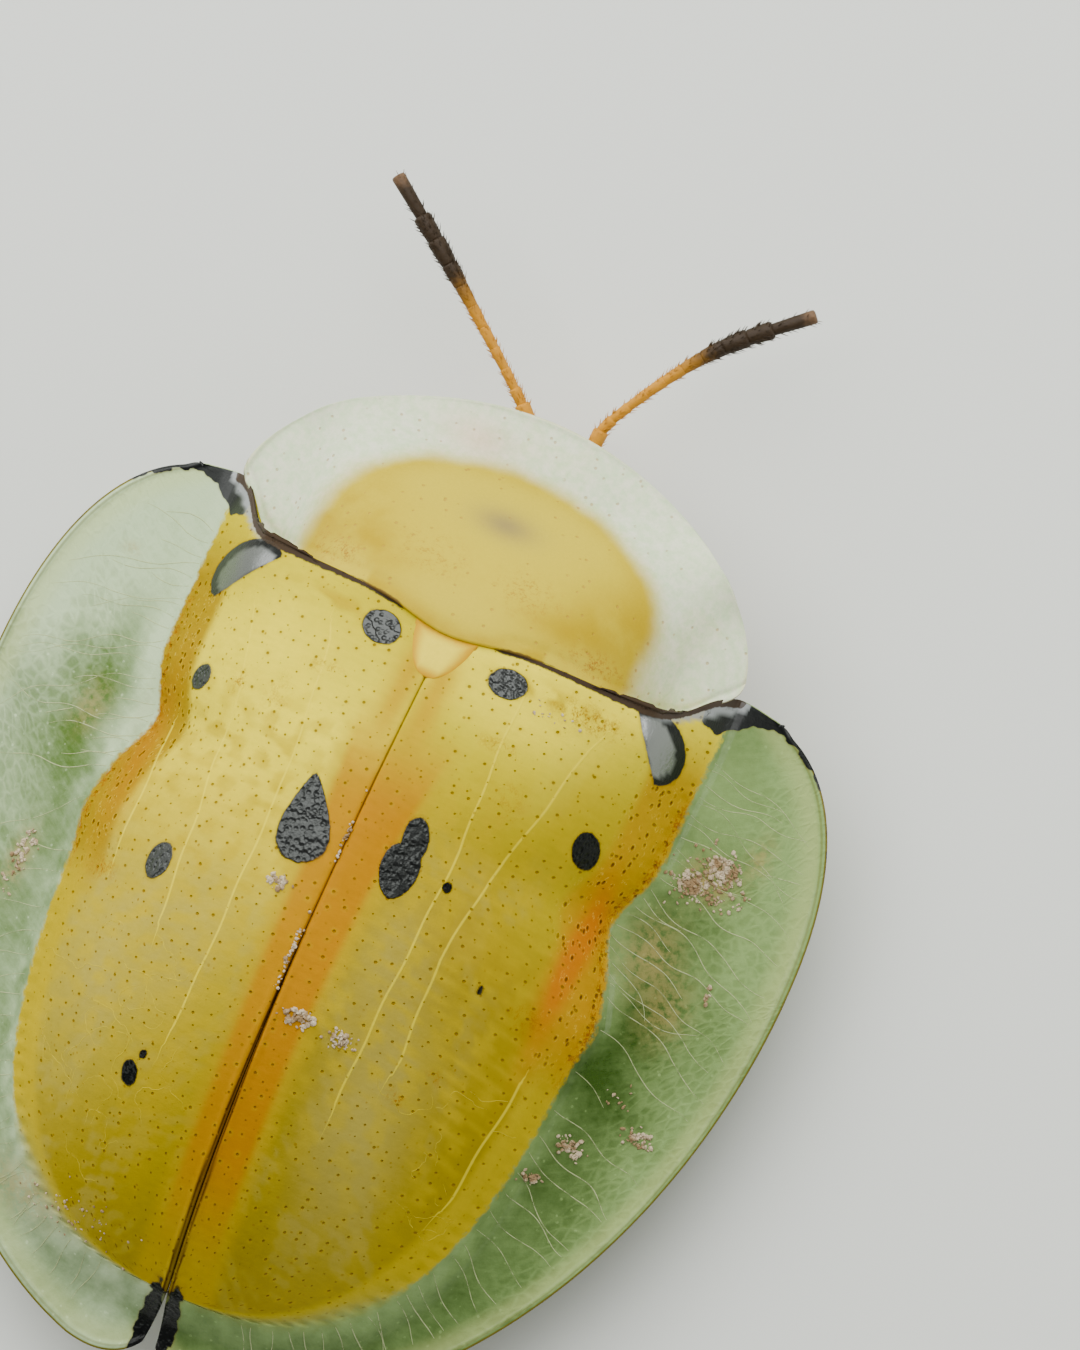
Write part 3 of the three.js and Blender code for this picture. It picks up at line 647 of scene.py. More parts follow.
def shell_finish(side_name):
    """Waxy yellow chitin with rows of brown pits and glossy black spots, and a clear brim."""
    steady = {"IOR": 1.5, "Specular IOR Level": 0.0, "Coat Roughness": 0.1}
    material, bench, place = new_finish("shell_" + side_name, steady)
    border, rim, outward = bench.read("border"), bench.read("rim"), bench.read("outward")
    length, fade = bench.read("length"), bench.read("fade")
    rows = bench.node("CombineXYZ", None, {"X": bench.read("row"), "Y": length})
    broad, fine = bench.noise(place, 1.1, 3), bench.noise(place, 9.0, 3, 0.65)
    grit = bench.noise(place, 34.0, 2, 0.7)
    clear = (border + 0.16 * fine).soft(0.05 - fade, 0.12 + 0.3 * fade)
    solid = 1 - clear

    pit_distance = bench.cells(rows, 1.0, "F1", 0.7, dimensions="2D")
    pit_chance = bench.node("SeparateColor", None, {0: bench.cells(rows, 1.0, "F1", 0.7, "Color", "2D")})
    pit = (1 - (pit_distance / (0.03 + 0.1 * pit_chance)).soft(0.45, 1.0)) * solid
    smudge = (1 - pit_distance.soft(0.05, 0.4)) * pit_chance.soft(0.3, 1.0) * fine.soft(0.35, 0.6) * solid
    speck_distance = bench.cells(place, 6.5)
    speck = (1 - speck_distance.soft(0.1, 0.17)) * fine.soft(0.4, 0.6)
    flank = bench.read("flank") * (fine + 0.4 * broad).soft(0.5, 0.75) * solid
    coarse = (1 - speck_distance.soft(0.12, 0.26)) * flank
    # Pale rings round the coarse pits of the flank: painted glints, highlights laid into the colour.
    glint = speck_distance.band(0.26, 0.34, 0.36, 0.46) * flank * grit.soft(0.45, 0.65)
    black = bench.read("spot") + 0.035 * (fine - 0.5)
    spot, halo = 1 - black.soft(-0.006, 0.012), 1 - black.soft(0.0, 0.045)
    seam_dark = bench.read("seam_dark") * fine.soft(0.25, 0.4)
    stain = bench.read("stain") * fine.soft(0.42, 0.6) * grit.soft(0.35, 0.6)
    # A dark line along the root of the wing case, partly a dark line of the shell and partly painted shade
    # of the gap beside the shield, laid over the lip's rounded top.
    root_line_and_gap_shade = 1 - (bench.read("cord") + 0.06 * (fine - 0.5)).soft(0.004, 0.03)
    film_patch = bench.read("film_patch") * fine.soft(0.2, 0.45)
    vein = long_veins_mask(bench, side_name, length, fine)
    marks = {"broad": broad, "fine": fine, "speck": speck}
    brim_colour, film, brim_height = brim_paint(bench, side_name, marks, rim, outward)

    fibre = bench.noise(bench.stretched(place, (3.0, 15.0, 3.0)), 1.0, 2)
    colour = bench.shaded(bench.read("tint", "Color"), 0.76 + 0.16 * broad + 0.16 * fibre + 0.16 * fine)
    gloss = bench.read("gloss")
    # The black of the spots, lightened towards grey by gloss as a painted reflection.
    spot_black_and_painted_reflection = bench.mix(gloss, (0.009, 0.01, 0.009), (0.2, 0.21, 0.2))
    layers = [
        (vein * 0.55, (0.8, 0.66, 0.02)),
        (smudge * 0.4, (0.44, 0.3, 0.0)),
        (speck * 0.65, (0.2, 0.1, 0.0)),
        (pit * 0.75, (0.17, 0.08, 0.0)),
        (coarse * 0.85, (0.12, 0.045, 0.0)),
        (glint * 0.45, (0.8, 0.6, 0.06)),
        (stain, (0.26, 0.09, 0.0)),
        (clear, brim_colour),
        (halo * 0.3, (0.16, 0.07, 0.0)),
        (seam_dark, (0.05, 0.016, 0.001)),
        (spot, spot_black_and_painted_reflection),
        (film_patch * 0.9, (0.3, 0.32, 0.31)),
        (root_line_and_gap_shade, (0.045, 0.03, 0.018)),
    ]
    for mask, layer in layers:
        colour = bench.mix(mask, colour, layer)

    solidness = 1 - clear * (1 - film.held(0.98))
    cracks = bench.cells(place, 13.0).soft(0.1, 0.6) + bench.noise(place, 5.0, 2, 0.4).soft(0.5, 0.6)
    height = (pit * -0.02 + coarse * -0.03) * (1 - spot) + 0.006 * fine + 0.003 * grit + vein * 0.004
    height = height + spot * (cracks + 0.6 * fine) * bench.read("pitted") * 0.018
    feed(material, {
        "Base Color": colour,
        "Metallic": spot * (1 - film_patch),
        "Alpha": solidness.most(spot.most(root_line_and_gap_shade.most(seam_dark))),
        "Roughness": 0.42 + 0.12 * grit - spot * (0.08 + 0.16 * gloss),
        "Coat Weight": 0.03 + 0.16 * clear + 0.3 * film_patch,
        "Normal": bench.relief(height + clear * brim_height),
    })
    return material


DISC_THICKNESS = 0.3
BRIM_THICKNESS = 0.12
EDGE_THICKNESS = 0.08
LIP_THICKNESS = 0.04
LIP_DROP = 0.12


def case_thickness(x, y, from_border, to_edge):
    """Thick over the disc, thinner in the brim and thinnest at its edge and along the root."""
    thickness = DISC_THICKNESS + (BRIM_THICKNESS - DISC_THICKNESS) * share_of(from_border, -0.3, 0.5)
    thickness = thickness + (EDGE_THICKNESS - BRIM_THICKNESS) * share_of(-to_edge, -0.6, -0.1)
    thickness = np.minimum(thickness, LIP_THICKNESS + 0.5 * np.maximum(0, y - front_line(x) - 0.02))
    return np.minimum(thickness, LIP_THICKNESS + 0.3 * np.hypot(x, y - DISC["centre"] - DISC["behind"]))


def brim_milk(side_name, x, y, from_border):
    """How milky the clear brim is: whitish beside the disc and at the shoulder, clearer in its middle. The
    whitish front of the left brim is partly a painted sheen, and where the right brim is clear its dark
    colour is painted shade.
    """
    beside = (1 - share_of(from_border, 0.1, 0.45)) * share_of(y, 0.9, 1.5)
    beside = beside * (1 - 0.8 * oval(x, y, 3.8, 4.2, 0.5, 0.6))
    streaky = mottle(x, y, 0.2, 8)
    if side_name == "left":
        # The milky front and the pale patch beside the disc are partly a painted sheen.
        milk_and_sheen = 0.24 + 0.72 * (1 - share_of(y, 0.9, 2.6)) - 0.5 * oval(x, y, 4.3, 1.9, 0.4, 1.3)
        milk_and_sheen = milk_and_sheen + 0.2 * share_of(y, 7, 8.5) + 0.25 * share_of(x, 4.9, 5.6)
        pale = (1 - share_of(from_border, 0.2, 0.8)) * oval(x, y, 3.9, 2.3, 1.0, 0.9)
        return milk_and_sheen + 0.4 * beside * streaky + 0.5 * pale
    # The dip in the middle lets more of the dark clear colour show, painted shade.
    milk_and_sheen = 0.32 + 0.4 * (1 - share_of(y, 0.3, 1.8)) + 0.35 * share_of(from_border, 1.0, 2.0)
    return milk_and_sheen - 0.32 * oval(x, y, 4.0, 4.3, 0.7, 1.6) + 0.45 * beside * (0.5 + 0.5 * streaky)


def beside_vein(route, x, y):
    """How far outward of a long vein a point lies. The distance grows faster past the vein's ends."""
    route_x, route_y = route.T
    lies = x - np.interp(y, route_y, route_x) - 0.012 * np.sin(5 * y)
    past = share_of(y, route_y[-1] - 0.8, route_y[-1]) + share_of(-y, -route_y[0] - 0.2, -route_y[0])
    return lies + np.where(lies < 0, -0.05, 0.05) * past


def unevenness(x, y):
    """The gentle waves of the shell, which the veins follow."""
    return 0.02 * np.sin(1.9 * x + 0.8 * y) * np.sin(1.1 * y - 0.6) + 0.008 * np.sin(3.3 * x - 1.2 * y)


def case_relief(x, y, walked, from_border, to_edge):
    """The low relief of the shell: beads, pits along the disc's border, and its unevenness."""
    wobble = 0.5 * np.sin(2.3 * walked) + 0.3 * np.sin(5.1 * walked + 1)
    pits = bump(from_border + 0.1, 0.08) * (0.5 + 0.5 * np.cos(2 * math.pi * walked / 0.24 + wobble))
    bead = 0.03 * bump(x - 0.07, 0.03) * share_of(y, 3.5, 6)
    groove = -0.045 * np.exp(-(x - SEAM) / 0.02)
    rim_bead = 0.03 * bump(to_edge - 0.06, 0.05)
    return unevenness(x, y) + bead + groove + rim_bead - 0.05 * pits * share_of(y, -0.2, 0.4)


def model_case(side_name, side):
    """One wing case as a closed shell, with its front edge turned down to the thorax."""
    case = grid_piece("wing_case_" + side_name, COLUMNS, ROWS)
    across, along = painted(case, "across"), painted(case, "along")
    x, y = wing_case_plan(across, along)[:2]
    lip = np.clip(1 - along / LIP_SHARE, 0, 1)
    step_down = np.maximum(0, wing_case_height(x, y) - shield_height(x, y))
    drop = LIP_DROP + step_down * (1 - share_of(x, 3.4, 3.9))
    z = BRIM_LEVEL + wing_case_height(x, y) - drop * (1 - np.sqrt(1 - lip**2))
    move_points(case, side * x, y - 0.02 * lip, z)
    mesh_step(bpy.ops.mesh.remove_doubles, threshold=0.0005)
    if side < 0:
        mesh_step(bpy.ops.mesh.flip_normals)
    x, y, turn, from_border, to_edge = wing_case_plan(painted(case, "across"), painted(case, "along"))
    give_thickness(case, case_thickness(x, y, from_border, to_edge), DISC_THICKNESS)
    relief = case_relief(x, y, border_length(turn), from_border, to_edge)
    points = points_of(case)
    points[:len(x), 2] += relief
    move_points(case, *points.T)
    return case


def case_marks(case, side_name):
    """All that the shell's finish reads, each worked out at every point of the shell."""
    across, along = painted(case, "across"), painted(case, "along")
    x, y, turn, from_border, to_edge = wing_case_plan(across, along)
    from_front = y - front_line(x)
    lip = np.clip(1 - along / LIP_SHARE, 0, 1)
    wall = share_of(lip, 0.1, 0.3)
    ragged = 0.06 * (mottle(x, y, 0.1, 5) - 0.5)
    film = np.interp(x, *CORNER_FILM)
    corner = from_front - np.interp(x, *CORNER_PATCH) + ragged
    corner = np.where((x > 3.35) & (y < 1.0), corner, 1.0)
    tip = TIP_PATCH.distance(x, y) + 0.5 * ragged
    spots = [mark.distance(x, y) for mark in SPOTS[side_name]]
    nearest = np.min(spots, axis=0)
    own_gloss = np.array([mark.gloss for mark in SPOTS[side_name]])[np.argmin(spots, axis=0)]
    sheen = 1 - share_of(SHEENS[side_name].distance(x, y), -0.015, 0.015)
    border_stain = bump(from_border + 0.05, 0.07) * between(y, 0.3, 0.8, 4.2, 5)
    line = 0.012 + 0.05 * share_of(y, 4.6, 9)
    seam_dark = (1 - share_of(x, line, line + 0.02)) * share_of(y, 3.6, 5.4)
    # Where the dark root line and the painted shade of the gap beside the shield lie.
    cord = from_front + 0.12 * lip + 0.01 * share_of(x, 2.0, 2.7) + share_of(x, 3.75, 3.95)
    marks = {
        "spot": np.minimum(nearest, np.minimum(corner, tip)) + wall,
        # How much the black spots reflect: it lowers their roughness and lightens their black towards grey
        # as a painted reflection, most on the shoulder spots.
        "gloss": SHEENS[side_name].gloss * sheen + 0.07 * (corner < 0.1) + own_gloss * (nearest < 0.1),
        "pitted": (np.minimum(np.min(spots[1:], axis=0), tip) < 0.1).astype(float),
        "tint": back_tint(side_name, x, y, from_border),
        "border": from_border,
        "rim": to_edge,
        "row": np.clip(np.interp(across, *ACROSS), 0, 1) * ROWS_OF_PITS,
        "length": y / PIT_STEP,
        "fan": border_length(turn) / FAN_STEP,
        "outward": from_border / FAN_STEP,
        "flank": share_of(from_border, -0.8, -0.5) * between(y, 0, 0.6, 4, 5),
        "film_patch": (1 - share_of(from_front - film, -0.03, 0.03)) * (film > 0) * (y < 1) * (1 - wall),
        "cord": cord + 0.1 * (1 - share_of(x, 0.4, 0.8)),
        "milk_and_sheen": brim_milk(side_name, x, y, from_border),
        "tan": ovals(x, y, TANS[side_name]),
        "fade": 0.3 * share_of(y, 7.8, 8.8),
        "seam_dark": seam_dark * (1 - 0.6 * bump(x - 0.45 * line, 0.3 * line) * share_of(y, 5, 6)),
        "stain": ovals(x, y, STAINS[side_name] + SHARED_STAINS) + 1.2 * border_stain,
    }
    for number, route in enumerate(LONG_VEINS[side_name]):
        marks[f"vein_{number}"] = beside_vein(np.array(route), x, y)
    return marks


for side_name, side in (("left", 1), ("right", -1)):
    case = model_case(side_name, side)
    for label, values in case_marks(case, side_name).items():
        paint(case, label, values)
    case.data.materials.append(shell_finish(side_name))
    into_frame(case)
    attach(case, "root")
    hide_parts("elytron_" + side_name)

# Veins of the wing cases
# Pale threads inside the shell, once the channels that fed the growing wing. Wavy ones fan out through
# the clear brim and fade before the edge, and hair-fine ones wander over the hind part of the disc.
VEIN_RADIUS = 0.0085
FAN_VEINS = 48
FAN_HEADINGS = ([-1.0, -0.5, 0.0, 0.5, 0.8, 1.0], [-6, 12, 20, 38, 62, 86])
FAN_SEED = 7
FAN_START, FAN_SPREAD = -0.82, 1.75
VEIN_STEP = 0.06
TANGLES = {"left": [(1.9, 6.9, 1.0, 1.5)] * 26, "right": [(2.7, 6.4, 0.5, 1.2)] * 12}


def smooth_route(route, count):
    """Points along a Catmull-Rom curve through a route of places."""
    spots = np.array(route, float)
    ends = np.concatenate([[2 * spots[0] - spots[1]], spots, [2 * spots[-1] - spots[-2]]])
    places = []
    for share in np.linspace(0, len(spots) - 1, count):
        i = min(int(share), len(spots) - 2)
        t = share - i
        a, b, c, d = ends[i:i + 4]
        squared, cubed = 2 * a - 5 * b + 4 * c - d, 3 * (b - c) + d - a
        places.append(0.5 * (2 * b + (c - a) * t + squared * t**2 + cubed * t**3))
    return np.array(places)


def threads(name, routes, radius):
    """Many fine threads as one mesh. A route is rows of x, y, z and how thick the thread is there."""
    curve = bpy.data.curves.new(name, "CURVE")
    curve.dimensions = "3D"
    curve.bevel_depth = radius
    curve.bevel_resolution = 1
    curve.use_fill_caps = True
    for route in routes:
        spline = curve.splines.new("POLY")
        spline.points.add(len(route) - 1)
        for point, (x, y, z, thick) in zip(spline.points, route):
            point.co, point.radius = (x, y, z, 1), thick
    piece = bpy.data.objects.new(name, curve)
    bpy.context.collection.objects.link(piece)
    only(piece)
    bpy.ops.object.convert(target="MESH")
    return bpy.context.object


def laid_on_back(places, side, sink, thick):
    """A route seen from above, laid on the wing case, a little sunk in, and tapering to both ends."""
    x, y = places.T
    z = BRIM_LEVEL + wing_case_height(x, y) + unevenness(x, y) - sink
    taper = thick * np.sin(np.linspace(0.08, 0.97, len(x)) * math.pi) ** 0.4
    return np.stack([side * x, y, z, taper], axis=1)


def inside_brim(x, y):
    """Whether a vein may still run there: it fades a little before the edge."""
    flare = BRIM["half"] - BRIM["shoulder"]
    ahead = BRIM["shoulder"] + flare * arm((WIDEST - y) / BRIM["ahead"], BRIM["ahead_power"])
    return x < ahead - 0.25 if y < WIDEST else brim_share(x, y) < 0.955


def fan_vein(chance, turn):
    """One vein of the brim, from the disc's border outwards, and sometimes a fork."""
    heading = math.radians(np.interp(turn, *FAN_HEADINGS) + chance.normal(0, 2.5))
    border = disc_outline(np.array([turn]))[:, 0]
    reach = chance.choice([0.8, 1.3, 2.4, 2.8, 3.4]) * chance.uniform(0.75, 1.1)
    steps = np.arange(0, reach, VEIN_STEP)
    bend = np.cumsum(chance.normal(0, 0.035, len(steps)))
    bend = bend + 0.26 * np.sin(steps * chance.uniform(4, 7) + chance.uniform(0, 6)) + 0.05 * steps
    way = np.stack([np.cos(heading + bend), np.sin(heading + bend)], axis=1) * VEIN_STEP
    main = border + np.cumsum(way, axis=0)
    main = np.array([place for place in main if inside_brim(*place)])
    found = [main]
    if len(main) > 24 and chance.uniform() < 0.15:
        start = chance.integers(10, len(main) - 8)
        lean = heading + chance.choice([-1, 1]) * chance.uniform(0.3, 0.55)
        count = chance.integers(6, 14)
        drift = np.cumsum(np.full(count, 0.05))[:, None] * np.array([math.cos(lean), math.sin(lean)])
        found.append(np.array([place for place in main[start] + drift if inside_brim(*place)]))
    return [places for places in found if len(places) > 4]


def wandering(chance, x, y, spread_x, spread_y):
    """A hair-fine thread that wanders over the disc from a chance place."""
    start = np.array([x + chance.uniform(-1, 1) * spread_x, y + chance.uniform(-1, 1) * spread_y])
    count = chance.integers(12, 34)
    heading = chance.normal(0, 0.6) + np.cumsum(chance.normal(0, 0.42, count))
    places = start + np.cumsum(np.stack([np.cos(heading), np.sin(heading)], axis=1) * 0.045, axis=0)
    return places[disc_share(*places.T) < 0.96]


def vein_finish():
    material, bench, place = new_finish("vein", {"Roughness": 0.5, "Specular IOR Level": 0.2})
    grain = bench.noise(place, 5.0, 3)
    feed(material, {
        "Base Color": bench.mix(bench.read("brim"), (0.7, 0.55, 0.01), (0.55, 0.6, 0.3)),
        "Alpha": 0.2 + 0.45 * grain.soft(0.3, 0.55),
    })
    return material


vein_material = vein_finish()
for side_name, side in (("left", 1), ("right", -1)):
    chance = np.random.default_rng(FAN_SEED + side)
    routes = []
    for index in range(FAN_VEINS):
        turn = FAN_START + FAN_SPREAD * (index + chance.uniform(-0.25, 0.25)) / FAN_VEINS
        for places in fan_vein(chance, turn):
            routes.append(laid_on_back(places, side, 0.0, chance.uniform(0.6, 0.95)))
    for tangle in TANGLES[side_name]:
        places = wandering(chance, *tangle)
        if len(places) > 4:
            routes.append(laid_on_back(places, side, 0.002, chance.uniform(0.45, 0.7)))
    veins = threads("veins_" + side_name, routes, VEIN_RADIUS)
    x, y, z = points_of(veins).T
    paint(veins, "brim", share_of(disc_share(x, y), 0.98, 1.02))
    veins.data.materials.append(vein_material)
    into_frame(veins)
    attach(veins, "root")

# Crumbs
# Grains of dust and dry leaf that lie on the back, caught in the seam and stuck to the brim.
# Each is a small rough lump, light enough to cling. They aren't part of the animal's body.
CRUMB_SEED = 31
FIRST_CRUMB = (-4.3, 1.3, BRIM_LEVEL + 0.5)
CRUMB_HEAPS = {
    "brim_right": (-4.32, 1.35, 0.36, 0.32, 200, 0.04),
    "brim_right_front": (-4.42, 1.1, 0.14, 0.12, 90, 0.045),
    "brim_right_back": (-4.1, 1.5, 0.16, 0.12, 110, 0.045),
    "brim_right_hind": (-4.1, 5.4, 0.16, 0.12, 50, 0.05),
    "brim_right_edge": (-4.85, 4.9, 0.2, 0.12, 50, 0.045),
    "brim_right_inner": (-3.8, 5.95, 0.15, 0.08, 30, 0.045),
    "brim_right_middle": (-4.45, 4.5, 0.2, 0.15, 14, 0.035),
    "brim_left": (4.35, 4.9, 0.1, 0.35, 60, 0.045),
    "brim_left_tip": (1.7, 9.0, 0.8, 0.25, 60, 0.03),
    "white_fleck": (-4.9, 2.75, 0.05, 0.08, 12, 0.045),
    "seam_front": (0.02, 3.1, 0.025, 0.4, 26, 0.03),
    "seam_middle": (0.05, 4.6, 0.03, 0.5, 50, 0.035),
    "back_left": (0.6, 3.85, 0.12, 0.1, 40, 0.045),
    "back_right": (-0.42, 5.35, 0.2, 0.1, 60, 0.05),
    "back_right_hind": (-1.0, 5.4, 0.14, 0.12, 50, 0.045),
    "shoulder_right": (-1.75, 0.35, 0.3, 0.12, 16, 0.025),
}


def crumb_finish():
    material, bench, place = new_finish("crumb", {"Specular IOR Level": 0.3, "Roughness": 0.8})
    grain, fine = bench.noise(place, 6.0, 3), bench.noise(place, 30.0, 3)
    colour = bench.mix(grain.soft(0.4, 0.6), (0.26, 0.17, 0.08), (0.5, 0.41, 0.27))
    feed(material, {
        "Base Color": bench.shaded(colour, 0.7 + 0.6 * fine),
        "Normal": bench.relief(0.01 * fine),
    })
    return material


chance = np.random.default_rng(CRUMB_SEED)
bpy.ops.object.select_all(action="DESELECT")
bpy.ops.mesh.primitive_ico_sphere_add(subdivisions=1, radius=1, location=(0, 0, 0))
crumbs = bpy.context.object
grain_mesh = crumbs.data.copy()
for x_middle, y_middle, spread_x, spread_y, count, size in CRUMB_HEAPS.values():
    for _ in range(count):
        x = x_middle + chance.normal(0, 0.6) * spread_x
        y = y_middle + chance.normal(0, 0.6) * spread_y
        radius = size * chance.uniform(0.35, 1.0)
        z = BRIM_LEVEL + wing_case_height(x, y) + unevenness(abs(x), y) + 0.15 * radius
        crumb = bpy.data.objects.new("crumb", grain_mesh)
        crumb.location = (x, y, z)
        crumb.rotation_euler = chance.uniform(0, math.pi, 3)
        crumb.scale = radius * chance.uniform(0.35, 1.3, 3)
        bpy.context.collection.objects.link(crumb)
        crumb.select_set(True)
move_points(crumbs, *(0.04 * points_of(crumbs) + np.array(FIRST_CRUMB)).T)
bpy.ops.object.join()
crumbs.name = crumbs.data.name = "crumbs"
crumbs.data.materials.append(crumb_finish())
into_frame(crumbs)
bpy.ops.object.shade_flat()
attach(crumbs, "root")

# Scutellum
# A small three-cornered plate of chitin between the roots of the wing cases.
# It is the tip of the thorax's back, and the closed wing cases lock against its two sides.
SCUTELLUM = {"half": 0.45, "front": -0.1, "tip": 0.58, "raise": 0.05}


def plate_finish(name, inner, outer):
    """Chitin that is paler in the middle and stained along its rim."""
    material, bench, place = new_finish(name, {"Specular IOR Level": 0.05})
    fine = bench.noise(place, 14.0, 4, 0.6)
    rim = bench.read("rim") + 0.2 * (fine - 0.5)
    feed(material, {
        "Base Color": bench.shaded(bench.mix(rim.soft(0.45, 0.95), inner, outer), 0.9 + 0.2 * fine),
        "Roughness": 0.3 + 0.2 * fine,
        "Normal": bench.relief(0.006 * fine),
    })
    return material


plate = grid_piece("scutellum_plate", 24, 24)
across, along = 2 * painted(plate, "across") - 1, painted(plate, "along")
half = SCUTELLUM["half"] * np.sqrt(np.maximum(0.0004, 1 - along**1.6))
y = SCUTELLUM["front"] + (SCUTELLUM["tip"] - SCUTELLUM["front"]) * along
rim = np.maximum(np.abs(across), np.abs(2 * along - 1))
crown = SCUTELLUM["raise"] * (1 - rim**3)
z = BRIM_LEVEL + wing_case_height(0, np.maximum(y, -0.02)) - 0.01 + crown
move_points(plate, across * half, y, z)
paint(plate, "rim", rim)
give_thickness(plate, np.full(len(y), 0.2), 0.2)
plate.data.materials.append(plate_finish("scutellum", (0.76, 0.6, 0.03), (0.52, 0.27, 0.0)))
into_frame(plate)
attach(plate, "root")
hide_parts("scutellum")

# Shield
# The broad plate of the fore thorax, thin chitin that hides the head. Its raised middle holds the muscles,
# and its clear margin stands out all round in front. Its hind edge lies against the roots of the wing cases.
SHIELD_END = 0.992
SHIELD_COLUMNS, SHIELD_ROWS = 180, 90
SHIELD_THICKNESS = 0.28
SHIELD_CORNER = 0.2
SHIELD_COLOURS = {"disc": (0.54, 0.42, 0.02), "patch": (0.4, 0.27, 0.0), "margin": (0.66, 0.82, 0.48)}


def shield_plan(across, along):
    """Seen from above: columns run from the front edge back to the roots of the wing cases."""
    x = -SHIELD_HALF * SHIELD_END * np.cos(across * math.pi)
    front = SHIELD_FRONT["y"] - SHIELD_FRONT["reach"] * arm(np.abs(x) / SHIELD_HALF, SHIELD_FRONT["power"])
    into_corner = np.maximum(0, np.abs(x) - SHIELD_HALF * SHIELD_END + SHIELD_CORNER)
    back = base_line(x) - BASE_GAP - SHIELD_CORNER * (1 - arm(into_corner / SHIELD_CORNER, 2))
    y = front + (back - front) * along
    nose = np.hypot(x / SHIELD_HALF, (y - SHIELD_FRONT["y"]) / SHIELD_FRONT["reach"])
    inside = np.where(y < SHIELD_FRONT["y"], 1 - nose, 1 - np.abs(x) / SHIELD_HALF)
    return x, y, y - back, inside


def shield_finish():
    """Whitish clear margin round a cream disc with deeper yellow patches and brown specks."""
    steady = {"IOR": 1.5, "Specular IOR Level": 0.04, "Coat Roughness": 0.12}
    material, bench, place = new_finish("shield", steady)
    broad, fine = bench.noise(place, 1.2, 4), bench.noise(place, 8.0, 4, 0.6)
    grit = bench.noise(place, 28.0, 3, 0.7)
    inside = bench.read("inside") + 0.08 * (broad - 0.5)
    clear = 1 - inside.soft(0.27, 0.4)
    dots = (1 - bench.cells(place, 5.5).soft(0.08, 0.16)) * fine.soft(0.36, 0.5)
    grime = bench.read("grime") * grit.soft(0.45, 0.6) * fine.soft(0.4, 0.6)
    patch = bench.read("patch") * (0.35 + 0.65 * broad.soft(0.3, 0.6))
    colour = bench.mix(patch, SHIELD_COLOURS["disc"], SHIELD_COLOURS["patch"])
    colour = bench.mix(bench.read("head_shade") * 0.75, colour, (0.2, 0.15, 0.08))
    margin = bench.mix(fine.soft(0.3, 0.7), SHIELD_COLOURS["margin"], (0.82, 0.84, 0.62))
    margin = bench.mix(bench.read("blush"), margin, (0.86, 0.6, 0.4))
    colour = bench.mix(clear, colour, margin)
    colour = bench.shaded(bench.mix(dots * 0.55, colour, (0.42, 0.22, 0.03)), 0.9 + 0.2 * grit)
    colour = bench.mix(grime, colour, (0.3, 0.12, 0.01))
    # A dark line along the hind edge, partly a dark edge of the shield and partly painted shade of the gap
    # beside the wing cases.
    cord = 1 - (bench.read("hind") + 0.06 * (fine - 0.5)).soft(0.01, 0.035)
    colour = bench.mix(cord * 0.9, colour, (0.09, 0.05, 0.02))
    edge = 1 - bench.read("inside").soft(0.008, 0.02)
    colour = bench.mix(edge * 0.5, colour, (0.5, 0.45, 0.25))
    feed(material, {
        "Base Color": colour,
        "Alpha": 1 - clear * (1 - edge) * (0.34 - 0.16 * fine),
        "Roughness": 0.36 + 0.14 * grit,
        "Coat Weight": 0.02 + 0.14 * clear,
        "Normal": bench.relief(0.004 * fine + 0.002 * grit - 0.008 * dots),
    })
    return material


shield = grid_piece("shield_plate", SHIELD_COLUMNS, SHIELD_ROWS)
x, y, hind, inside = shield_plan(painted(shield, "across"), painted(shield, "along"))
move_points(shield, x, y, BRIM_LEVEL + shield_height(x, y))
thickness = SHIELD_THICKNESS - 0.16 * (1 - share_of(inside, 0.15, 0.5))
thickness = np.minimum(thickness, 0.06 + 0.5 * np.maximum(0, -hind))
give_thickness(shield, thickness, SHIELD_THICKNESS)
waves = 0.02 * np.sin(2.1 * x) * np.sin(2.4 * y + 1) * share_of(inside, 0.2, 0.4)
rim_bead = 0.025 * bump(inside - 0.012, 0.012)
hind_groove = 0.03 * bump(hind + 0.16, 0.07) * share_of(np.abs(x), 0.6, 0.9)
points = points_of(shield)
points[:len(x), 2] += waves + rim_bead - hind_groove
move_points(shield, *points.T)
x, y, hind, inside = shield_plan(painted(shield, "across"), painted(shield, "along"))
across = np.abs(x)
patch = ovals(across, y, [(0.9, 1.85, -1.15, 0.55, 0.5), (0.7, 1.3, -0.75, 0.6, 0.25)])
patch = np.clip(patch + 0.4 * bump(inside - 0.38, 0.06), 0, 1)
marks = {
    "inside": inside,
    "hind": 0.1 * (1 - share_of(across, 0.4, 0.8)) - hind,
    "patch": np.clip(patch + bump(hind, 0.2) * (across < 1.3), 0, 1),
    "grime": ovals(across, y, [(1.0, 1.9, -0.55, 0.4, 0.16), (0.6, 0.7, -1.0, 0.5, 0.3)]),
    "head_shade": oval(x, y, 0.02, -1.78, 0.42, 0.2),
    "blush": 0.6 * oval(x, y, 0.95, -2.75, 0.5, 0.3),
}
for label, values in marks.items():
    paint(shield, label, values)
shield.data.materials.append(shield_finish())
into_frame(shield)
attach(shield, "root")
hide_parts("pronotum")

